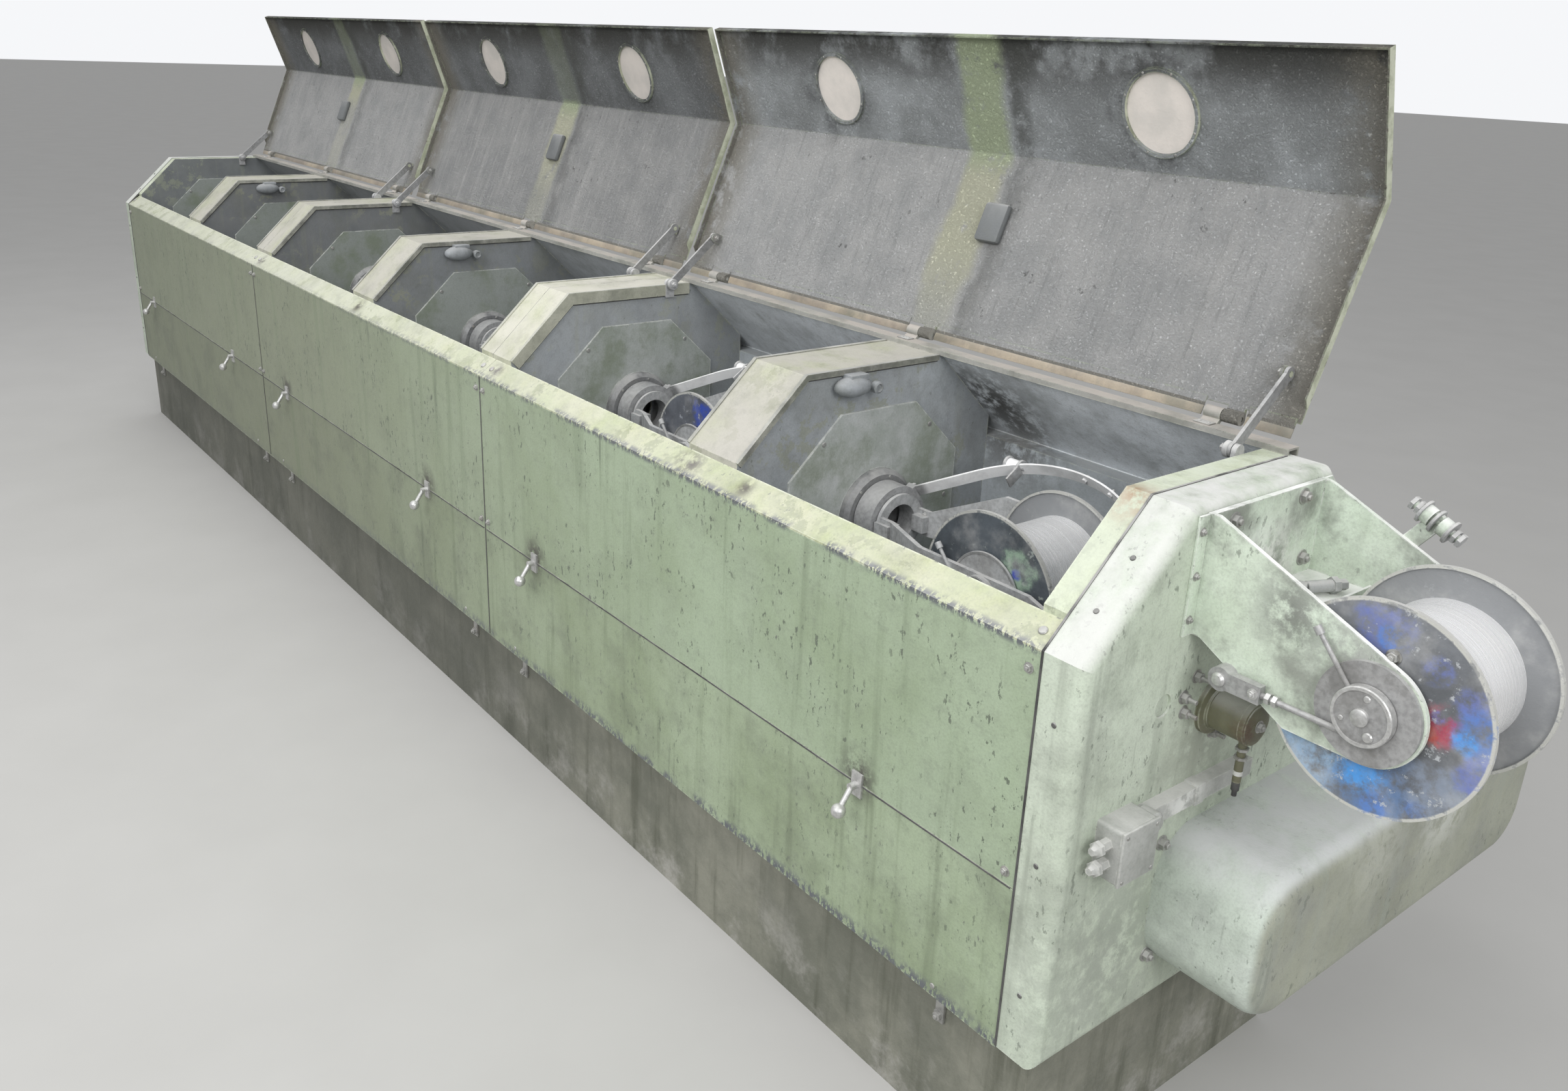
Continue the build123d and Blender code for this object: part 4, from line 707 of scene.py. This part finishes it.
SLOPE_OUT = Vector((0, SHOULDER - CROWN, WALL - CROWN_HALF)).normalized()
CROWN_END = 0.221


def crown_line(x, lift):
    """Points along the front slope and the crown of a bulkhead, lifted off the sheet."""
    corner = lift * SLOPE_OUT.y / (1 + SLOPE_OUT.z)
    return [(x, -INNER + SLOPE_OUT.y * lift, chamfer_height(INNER) + SLOPE_OUT.z * lift),
            (x, -CROWN_HALF + corner, CROWN + lift), (x, CROWN_END, CROWN + lift)]


def lid_place(x, along, out):
    """Point on a lid's main panel at rest, by its distance from the hinge and out from the inner face."""
    return Vector((x, HINGE.y + along * cos(LID_ANGLE) + out * sin(LID_ANGLE),
                   HINGE.z + along * sin(LID_ANGLE) - out * cos(LID_ANGLE)))


def outer_place(x, along, out):
    """Point on a lid's outer panel at rest, counted from the bend."""
    angle = LID_ANGLE + LID_BEND
    return lid_place(x, LID_MAIN, 0) + Vector((0, along * cos(angle) + out * sin(angle),
                                               along * sin(angle) - out * cos(angle)))


LID_TURN = Matrix.Rotation(LID_ANGLE, 3, "X")
LID_IN = Vector((0, -sin(LID_ANGLE), cos(LID_ANGLE)))
OUTER_IN = Vector((0, -sin(LID_ANGLE + LID_BEND), cos(LID_ANGLE + LID_BEND)))

# Fasteners on the front, the strips and the back
JOINT_SIDE = 0.024
END_MARGIN = 0.028
beside_seams = [seam + side for seam in MODULE_SEAMS for side in (-JOINT_SIDE, JOINT_SIDE)]
piece = Build("panel_bolts")
for x in beside_seams + [END_MARGIN - TROUGH, TROUGH - END_MARGIN]:
    for z in (1.258, 0.806):
        piece.bolt((x, -WALL, z), -Y, 0.0085, 0.006)
for x in [middle + offset for middle in MODULE_MIDDLES for offset in (-0.99, 0.99)]:
    piece.box((x, -0.4765, 0.345), (0.026, 0.009, 0.10), bevel=0.002)
    piece.bolt((x, -0.481, 0.315), -Y, 0.011, 0.009)
    piece.screw((x, -WALL, 0.41), -Y, 0.007)
for x in beside_seams:
    for step in range(6):
        piece.screw((x, WALL, 0.46 + step * 0.155), Y, 0.007)
piece.done(bolt_steel)
piece = Build("strip_screws")
for x in [middle + offset for middle in MODULE_MIDDLES for offset in (-1.15, 1.15)]:
    piece.screw((x, -0.481, 1.326), (0, -0.044, 0.062), 0.010)
piece.done(bolt_steel)
# Dark strips over the panel seams: the seam lines together with painted shade in their gaps.
piece = Build("panel_seams_and_gap_shade")
for middle in MODULE_MIDDLES:
    piece.box((middle, -WALL - 0.0008, SEAM), (2.34, 0.0012, 0.0045), bevel=0.0003)
for seam in MODULE_SEAMS:
    piece.box((seam, -WALL - 0.0008, 0.845), (0.0055, 0.0012, 0.91), bevel=0.0003)
piece.done(rubber)
piece = Build("back_seams")
for seam in MODULE_SEAMS:
    piece.box((seam, WALL, (SHOULDER + PLINTH) / 2), (0.075, 0.0016, SHOULDER - PLINTH - 0.02), bevel=0.0004)
piece.done(back_paint)

# Rounded lips of the bulkheads with a dark strip under each as painted shadow, and the fittings that hang
# under their crowns
LIP_DEPTH = 0.012
for number, centre in enumerate(BULKHEADS, 1):
    piece = Build("bulkhead_lips_%d" % number)
    drop, lip = (-0.034, pale_lip_paint) if number == PALE_BULKHEAD else (-0.012, lip_paint)
    for x in (centre + 0.100, centre - 0.112):
        piece.slab(crown_line(x, 0.003) + crown_line(x, drop)[::-1], X * LIP_DEPTH)
    piece.done(lip)
    # A dark strip just under each lip: painted shadow.
    piece = Build("lip_shadow_strip_%d" % number)
    for x in (centre + 0.1042, centre - 0.1054):
        piece.slab(crown_line(x, drop) + crown_line(x, drop - 0.005)[::-1], X * 0.0012)
    piece.done(rubber)
    if number % 2 == 0:
        continue
    piece = Build("crown_fitting_%d" % number)
    face = centre + BULKHEAD_HALF
    piece.ball((face + 0.026, -0.105, 1.520), (0.034, 0.058, 0.027))
    piece.rod((face, -0.098, 1.525), (face + 0.026, -0.098, 1.525), 0.024)
    piece.box((face + 0.020, -0.092, 1.545), (0.040, 0.060, 0.014))
    piece.lathe((face + 0.008, -0.034, 1.513), X, ((0.010, 0), (0.010, 0.022), (0.016, 0.025), (0.016, 0.040),
                                                   (0.011, 0.043), (0.008, 0.038)))
    piece.rod((face + 0.020, -0.06, 1.516), (face + 0.020, -0.034, 1.513), 0.008)
    piece.done(crown_trim)

# Screws of the bearing rings and the access plates
RING_CIRCLE = 0.106
for number, (start, face) in enumerate(zip(ROTOR_STARTS, NEAR_FACES), 1):
    piece = Build("ring_screws_%d" % number)
    for step in range(6):
        place = AXIS + X * start + RING_CIRCLE * round_x(60 * step + 15)
        piece.screw(place + X * 0.033, X, 0.0045)
        piece.screw(place + X * 0.909, -X, 0.0045)
    for side, rise in ((-0.27, 0), (-0.19, 0.22), (0.19, 0.22), (0.27, 0), (-0.19, -0.22), (0.19, -0.22)):
        piece.screw(AXIS + Vector((face + 0.006, side, rise)), X, 0.007)
    piece.done(bolt_steel)

# Hub bolts, bow feet and guides on the rotors; brakes and pins on the cradles
BOW_SLOPE = radians(41)
FOOT_LOW = 0.078
FOOT_HIGH = 0.867
FOOT_RADIUS = 0.113
BOW_TOP = 0.325
reach = (FOOT_HIGH - FOOT_LOW) / 2
knee = (FOOT_RADIUS + reach * tan(BOW_SLOPE) - BOW_TOP) / (tan(BOW_SLOPE) - tan(BOW_SLOPE / 2))
curve = knee / sin(BOW_SLOPE)


def bow_place(middle, radial, degrees, lift):
    """Point over a bow's curved top, by its angle from the middle."""
    angle = radians(degrees)
    height = BOW_TOP - curve + curve * cos(angle) + lift
    return AXIS + X * (middle + curve * sin(angle)) + radial * height


for number, (start, x) in enumerate(zip(ROTOR_STARTS, BOBBIN_MIDDLES), 1):
    middle = start + (FOOT_LOW + FOOT_HIGH) / 2
    piece = Build("bow_fittings_%d" % number)
    for radial in (round_x(35), round_x(215)):
        across = X.cross(radial)
        for foot in (0.064, 0.881):
            for side in (-0.010, 0.010):
                place = AXIS + X * (start + foot) + across * side
                piece.bolt(place + radial * (FOOT_RADIUS + 0.0025), radial, 0.0065, 0.005)
        centre = bow_place(middle, radial, -28.2, 0.016)
        for end in (-1, 1):
            piece.rod(centre + X * end * 0.018, centre + X * end * 0.026, 0.0205)
        arm_turn = Matrix((X, across, radial)).transposed()
        piece.box(centre + X * 0.0235 - radial * 0.034, (0.006, 0.034, 0.050), arm_turn)
        piece.rod(centre - X * 0.033, centre + X * 0.033, 0.007)
        for eyelet in (3.1, 16.2):
            low = bow_place(middle, radial, eyelet, -0.004)
            piece.rod(low, low + radial * 0.017, 0.0042)
    piece.done(dusty_steel, "rotor_%d" % number)
    piece = Build("cradle_fittings_%d" % number)
    front = Vector((x, -0.175, AXIS.z))
    piece.lathe(front, -Y, ((0.016, 0), (0.016, 0.004), (0.010, 0.0045), (0.010, 0.010), (0.008, 0.011)))
    piece.lathe(front, -Y, ((0.050, -0.001), (0.050, 0.0015), (0.045, 0.0015), (0.045, -0.001)), 40)
    piece.lathe((x, -0.149, AXIS.z), -Y,
                ((0.1045, -0.001), (0.1045, 0.0014), (0.099, 0.0014), (0.099, -0.001)), 56)
    for step in range(3):
        piece.screw(front + 0.033 * round_y(120 * step + 40), -Y, 0.005)
    piece.bolt((x, 0.151, AXIS.z), Y, 0.015, 0.010)
    for side in (-1, 1):
        piece.bolt(AXIS + Vector((start + 0.140, side * 0.064, 0.017)), Z, 0.007, 0.005)
        piece.bolt(AXIS + Vector((start + 0.818, side * 0.06624, 0.012)), -X, 0.006, 0.005)
    piece.done(bright_steel, "cradle_%d" % number)
piece = Build("payoff_drive_pin")
piece.bolt(PAYOFF + Vector((0.012, FLANGE_SIDE, 0.106)), -Y, 0.0105, 0.008)
piece.done(bolt_steel, "payoff_bobbin")

# Lids: catch pads, porthole screws, lower edge strips, hinge leaves and stays
CATCHES = (-0.042, 0.022, 0.12)
PANE_CIRCLE = 0.1045
PANE_ALONG = 0.150
STRIP_RUNS = ((-1.15, -1.035), (-0.925, -0.055), (0.055, 0.925), (1.035, 1.15))
for number, middle in enumerate(MODULE_MIDDLES, 1):
    body = "lid_%d" % number
    stay_faces = ((NEAR_FACES[2 * number - 2], 1), (FAR_FACES[2 * number - 1], -1))
    piece = Build("lid_catch_%d" % number)
    piece.box(lid_place(middle + CATCHES[number - 1], 0.335, -0.010), (0.085, 0.11, 0.024), LID_TURN, 0.010)
    piece.done(pad_paint, body)
    piece = Build("porthole_screws_%d" % number)
    for bay in BAY_OFFSETS:
        for step in range(8):
            rim = PANE_CIRCLE * round_y(45 * step + 22)
            piece.screw(outer_place(middle + bay + rim.x, PANE_ALONG + rim.z, -0.008), OUTER_IN, 0.0034)
    piece.done(bolt_steel, body)
    for name, low_edge, high_edge, material in (("lid_lower_strip_%d", -0.012, 0.010, tan_strip),
                                                ("lid_lower_edge_%d", 0.009, 0.034, lid_dust_and_painted_shading[number])):
        piece = Build(name % number)
        for low, high in STRIP_RUNS:
            piece.box(lid_place(middle + (low + high) / 2, (low_edge + high_edge) / 2, -0.0012),
                      (high - low, high_edge - low_edge, 0.0024), LID_TURN, 0.0006)
        piece.done(material, body)
    piece = Build("lid_hinge_leaves_%d" % number)
    for x in [middle + offset + 0.023 for offset in HINGE_OFFSETS]:
        piece.box(lid_place(x, 0.048, 0.005), (0.043, 0.040, 0.004), LID_TURN, 0.001)
        for side in (-0.012, 0.012):
            piece.screw(lid_place(x + side, 0.052, 0.007), -LID_IN, 0.0045)
    piece.done(bolt_steel, body)
    piece = Build("rail_hinge_leaves_%d" % number)
    for x in [middle + offset - 0.023 for offset in HINGE_OFFSETS]:
        piece.box((x, 0.248, 1.5755), (0.043, 0.026, 0.003), bevel=0.0008)
        for side in (-0.012, 0.012):
            piece.screw((x + side, 0.246, 1.577), Z, 0.0045)
    piece.done(bolt_steel)
    piece = Build("stay_eyes_%d" % number)
    for face, inward in stay_faces:
        eye = Vector((face + inward * 0.022, 0.140, 1.566))
        piece.rod(eye, eye + X * inward * 0.012, 0.0185)
        piece.bolt(eye + X * inward * 0.012, X * inward, 0.010, 0.008)
    piece.done(dusty_steel, "stays_%d" % number)
    piece = Build("stay_pins_%d" % number)
    for face, inward in stay_faces:
        piece.bolt(lid_place(face + inward * 0.032, 0.120, -0.021), X * inward, 0.009, 0.007)
    piece.done(bolt_steel, body)

# End covers: gasket, dark also as painted shade of the gap at the panel edge, plugs and the disc behind the
# round hole
shell = ((-WALL, PLINTH + 0.006), (-WALL, SHOULDER), (-CROWN_HALF, CROWN), (0.222, CROWN))
grow = (Vector((0, -1, 0)), Vector((0, -1, 0.43)), Vector((0, -0.4, 1)), Z)
for number, toward in enumerate((1, -1), 1):
    end = TROUGH * toward
    # The dark frame is partly the gasket and partly painted shade of the gap between the panel edge and the
    # cover.
    piece = Build("cover_gasket_and_gap_shade_%d" % number)
    outline = [Vector((end - 0.0025, y, z)) + out * 0.0018 for (y, z), out in zip(shell, grow)]
    inline = [Vector((end - 0.0025, y, z)) - out * 0.004 for (y, z), out in zip(shell, grow)]
    piece.slab(outline + inline[::-1], X * 0.005)
    piece.done(rubber)
    piece = Build("cover_plugs_%d" % number)
    for side in (-0.34, -0.43):
        piece.screw((end + toward * 0.045, side, chamfer_height(-side)), SLOPE_OUT, 0.006)
    for z in (0.55, 0.86, 1.17):
        piece.screw((end + toward * 0.045, -WALL, z), -Y, 0.006)
        piece.screw((end + toward * 0.045, WALL, z), Y, 0.006)
    piece.done(dark_steel)
piece = Build("cover_hole_disc")
piece.lathe((3.629, -0.253, 1.156), X, ((0.0284, 0), (0.0284, 0.006), (0.014, 0.009)), 32)
piece.done(cover_paint)

# Pay-off bracket and brake
piece = Build("bracket_flanges")
for y in (-0.2195, 0.2115):
    piece.box((FACE + 0.003, y, 1.424), (0.006, 0.031, 0.246), bevel=0.001)
piece.box((FACE + 0.147, -0.004, 1.353), (0.006, 0.378, 0.018), bevel=0.001)
piece.done(bracket_paint)
piece = Build("bracket_bolts")
for y, z in ((-0.131, 1.522), (0.110, 1.526), (-0.125, 1.385), (0.146, 1.385)):
    piece.bolt((FACE + 0.012, y, z), X, 0.013, 0.010)
for z in (1.335, 1.425, 1.515):
    for y in (-0.2225, 0.2145):
        piece.bolt((FACE + 0.006, y, z), X, 0.007, 0.005)
piece.done(bolt_steel)
piece = Build("shelf_fitting")
shelf = Vector((FACE, 0, 1.366))
block_turn = Matrix.Rotation(radians(24), 3, "Z")
piece.box(shelf + Vector((0.070, 0.020, 0)), (0.055, 0.036, 0.030), block_turn, 0.004)
piece.tube([shelf + Vector(point) for point in ((0.052, -0.02, -0.002), (0.045, -0.055, -0.002),
                                                (0.05, -0.088, 0.004), (0.055, -0.10, -0.014))], 0.010)
piece.rod(shelf + Vector((0.085, 0.045, 0.002)), shelf + Vector((0.112, 0.105, 0.002)), 0.013)
piece.lathe(shelf + Vector((0.108, 0.098, 0.002)), (0.41, 0.91, 0),
            ((0.018, 0), (0.018, 0.014), (0.012, 0.016), (0.012, 0.034)), 6)
piece.lathe(shelf + Vector((0.058, -0.008, 0)), (-0.3, -0.95, 0), ((0.015, 0), (0.015, 0.012)), 6)
piece.done(dusty_trim)
piece = Build("brake_details")
front = Vector((PAYOFF.x, -0.232, PAYOFF.z))
piece.lathe(front, -Y, ((0.016, 0), (0.016, 0.006), (0.013, 0.008)), 28)
piece.lathe(front, -Y,
            ((0.0555, -0.016), (0.0555, 0.0), (0.0535, 0.002), (0.048, 0.002), (0.047, -0.001)), 48)
for degrees, size in ((82, 0.0065), (-58, 0.0095), (205, 0.005)):
    piece.screw(front + 0.0365 * round_y(degrees), -Y, size)
link = Vector((FACE, -0.232, 1.250))
piece.lathe(link + X * 0.094, -Y, ((0.014, 0), (0.014, 0.004), (0.010, 0.009), (0.004, 0.010)))
piece.bolt(link + X * 0.165, -Y, 0.008, 0.006)
for along in (0.188, 0.202):
    piece.lathe(link + X * along + Y * 0.009, X, ((0.0115, 0), (0.0115, 0.009)), 6)
piece.bolt(PAYOFF + Y * 0.245, Y, 0.024, 0.014)
piece.done(bright_steel)
piece = Build("roller_details")
head = Vector((FACE + 0.237, 0.202, 1.525))
tilt = round_y(-25)
for along in (-0.033, -0.004, 0.029):
    piece.rod(head + tilt * along, head + tilt * (along + 0.006), 0.025)
for along in (-0.058, -0.044, 0.040, 0.052):
    piece.lathe(head + tilt * along, tilt, ((0.015, 0), (0.015, 0.008)), 6)
piece.done(dusty_steel)

# Shaft housing, sensor, switch box and guard
piece = Build("housing_flange")
shaft = Vector((FACE, -0.078, 1.105))
piece.lathe(shaft, X, ((0.060, 0), (0.060, 0.010), (0.046, 0.014), (0.046, 0.020)), 36)
piece.lathe(shaft, X, ((0.0455, 0.088), (0.0455, 0.100), (0.040, 0.104), (0.030, 0.108)), 36)
piece.done(housing_paint)
piece = Build("housing_studs")
for y, z in ((-0.188, 1.156), (-0.062, 1.039), (-0.152, 1.192), (-0.180, 1.120)):
    piece.bolt((FACE, y, z), X, 0.011, 0.012)
    piece.rod((FACE + 0.010, y, z), (FACE + 0.032, y, z), 0.005)
piece.bolt(shaft + X * 0.108, X, 0.010, 0.008)
sensor = Vector((FACE + 0.082, -0.078, 0))
for z in (1.040, 1.020):
    piece.lathe(sensor + Z * z, Z, ((0.0145, 0), (0.0145, 0.006)), 6)
piece.done(bolt_steel)
piece = Build("sensor_band")
piece.lathe(sensor + Z * 0.983, Z, ((0.0096, 0), (0.0096, 0.010)))
piece.done(white_plastic)
piece = Build("sensor_plug")
piece.lathe(sensor + Z * 0.968, -Z, ((0.0085, 0), (0.0085, 0.020), (0.0055, 0.024), (0.0055, 0.034)))
piece.done(rubber)
piece = Build("switch_box_lid")
piece.box((FACE + 0.063, -0.360, 0.900), (0.008, 0.112, 0.122), bevel=0.003)
for z in (0.878, 0.922):
    piece.lathe((FACE + 0.030, -0.440, z), -Y,
                ((0.0165, 0), (0.0165, 0.010), (0.012, 0.013), (0.008, 0.024)), 6)
piece.lathe((FACE + 0.030, -0.285, 0.925), X, ((0.024, -0.02), (0.024, 0.014), (0.018, 0.020)), 24)
piece.box((FACE + 0.016, -0.118, 0.925), (0.034, 0.030, 0.048), bevel=0.002)
piece.done(box_paint)
piece = Build("switch_box_screws")
for side in (-0.045, 0.045):
    for rise in (-0.050, 0.050):
        piece.screw((FACE + 0.067, -0.360 + side, 0.900 + rise), X, 0.0045)
for y, z in ((-0.173, 0.530), (-0.181, 0.815)):
    piece.bolt((FACE, y, z), X, 0.013, 0.012)
piece.done(bolt_steel)


# Floor, backdrop, light and camera
def stage_material():
    s = Shader("studio_floor", Roughness=0.9)
    s.color = s.mix(s.noise(2.2, 4), (0.44, 0.435, 0.42), (0.49, 0.485, 0.47))
    return s.finish(0.9)


FLOOR_SIZE = 160
bpy.ops.mesh.primitive_plane_add(size=FLOOR_SIZE)
floor = bpy.context.object
floor.name = "studio_floor"
floor.data.materials.append(stage_material())

WORLD_LIGHT = 0.62
WORLD_SEEN = 0.95
world = bpy.data.worlds.new("studio")
scene.world = world
world.use_nodes = True
tree = world.node_tree
path = tree.nodes.new("ShaderNodeLightPath")
seen = tree.nodes.new("ShaderNodeMath")
seen.operation = "MAXIMUM"
tree.links.new(path.outputs["Is Camera Ray"], seen.inputs[0])
tree.links.new(path.outputs["Is Transmission Ray"], seen.inputs[1])
strength = tree.nodes.new("ShaderNodeMix")
tree.links.new(seen.outputs[0], strength.inputs[0])
strength.inputs[2].default_value = WORLD_LIGHT
strength.inputs[3].default_value = WORLD_SEEN
background = tree.nodes["Background"]
tree.links.new(strength.outputs[0], background.inputs["Strength"])
background.inputs["Color"].default_value = (0.97, 0.98, 1.0, 1.0)


def lamp(name, place, aim, size, power):
    data = bpy.data.lights.new(name, "AREA")
    data.shape = "RECTANGLE"
    data.size, data.size_y = size
    data.energy = power
    made = bpy.data.objects.new(name, data)
    scene.collection.objects.link(made)
    made.location = place
    made.rotation_mode = "QUATERNION"
    made.rotation_quaternion = (Vector(aim) - Vector(place)).to_track_quat("-Z", "Y")


lamp("roof_light", (-0.5, -1.5, 6.5), (0, 0, 1), (9.0, 4.0), 230)
lamp("front_light", (3.0, -6.5, 5.2), (0.5, 0, 1), (6.0, 3.0), 260)
lamp("end_light", (8.5, -2.0, 4.2), (3.5, 0, 1.2), (3.0, 3.0), 170)

AZIMUTH = radians(51.0277)
ELEVATION = radians(19.7864)
ROLL = radians(2.4324)
CAMERA_PLACE = (4.872, -2.219, 2.332)
FOCAL_PIXELS = 1851.8
FRAME_WIDTH = 2296
FRAME_HEIGHT = 1597
AXIS_ROW = 735.96
SENSOR_WIDTH = 36
camera_data = bpy.data.cameras.new("camera")
camera_data.sensor_width = SENSOR_WIDTH
camera_data.lens = SENSOR_WIDTH * FOCAL_PIXELS / FRAME_WIDTH
camera_data.shift_y = -(FRAME_HEIGHT / 2 - AXIS_ROW) / FRAME_WIDTH
camera = bpy.data.objects.new("camera", camera_data)
scene.collection.objects.link(camera)
aim = Matrix.Translation(CAMERA_PLACE)
for angle, axis in ((AZIMUTH, "Z"), (pi / 2 - ELEVATION, "X"), (ROLL, "Z")):
    aim = aim @ Matrix.Rotation(angle, 4, axis)
camera.matrix_world = aim
scene.camera = camera
scene.view_settings.view_transform = "Standard"
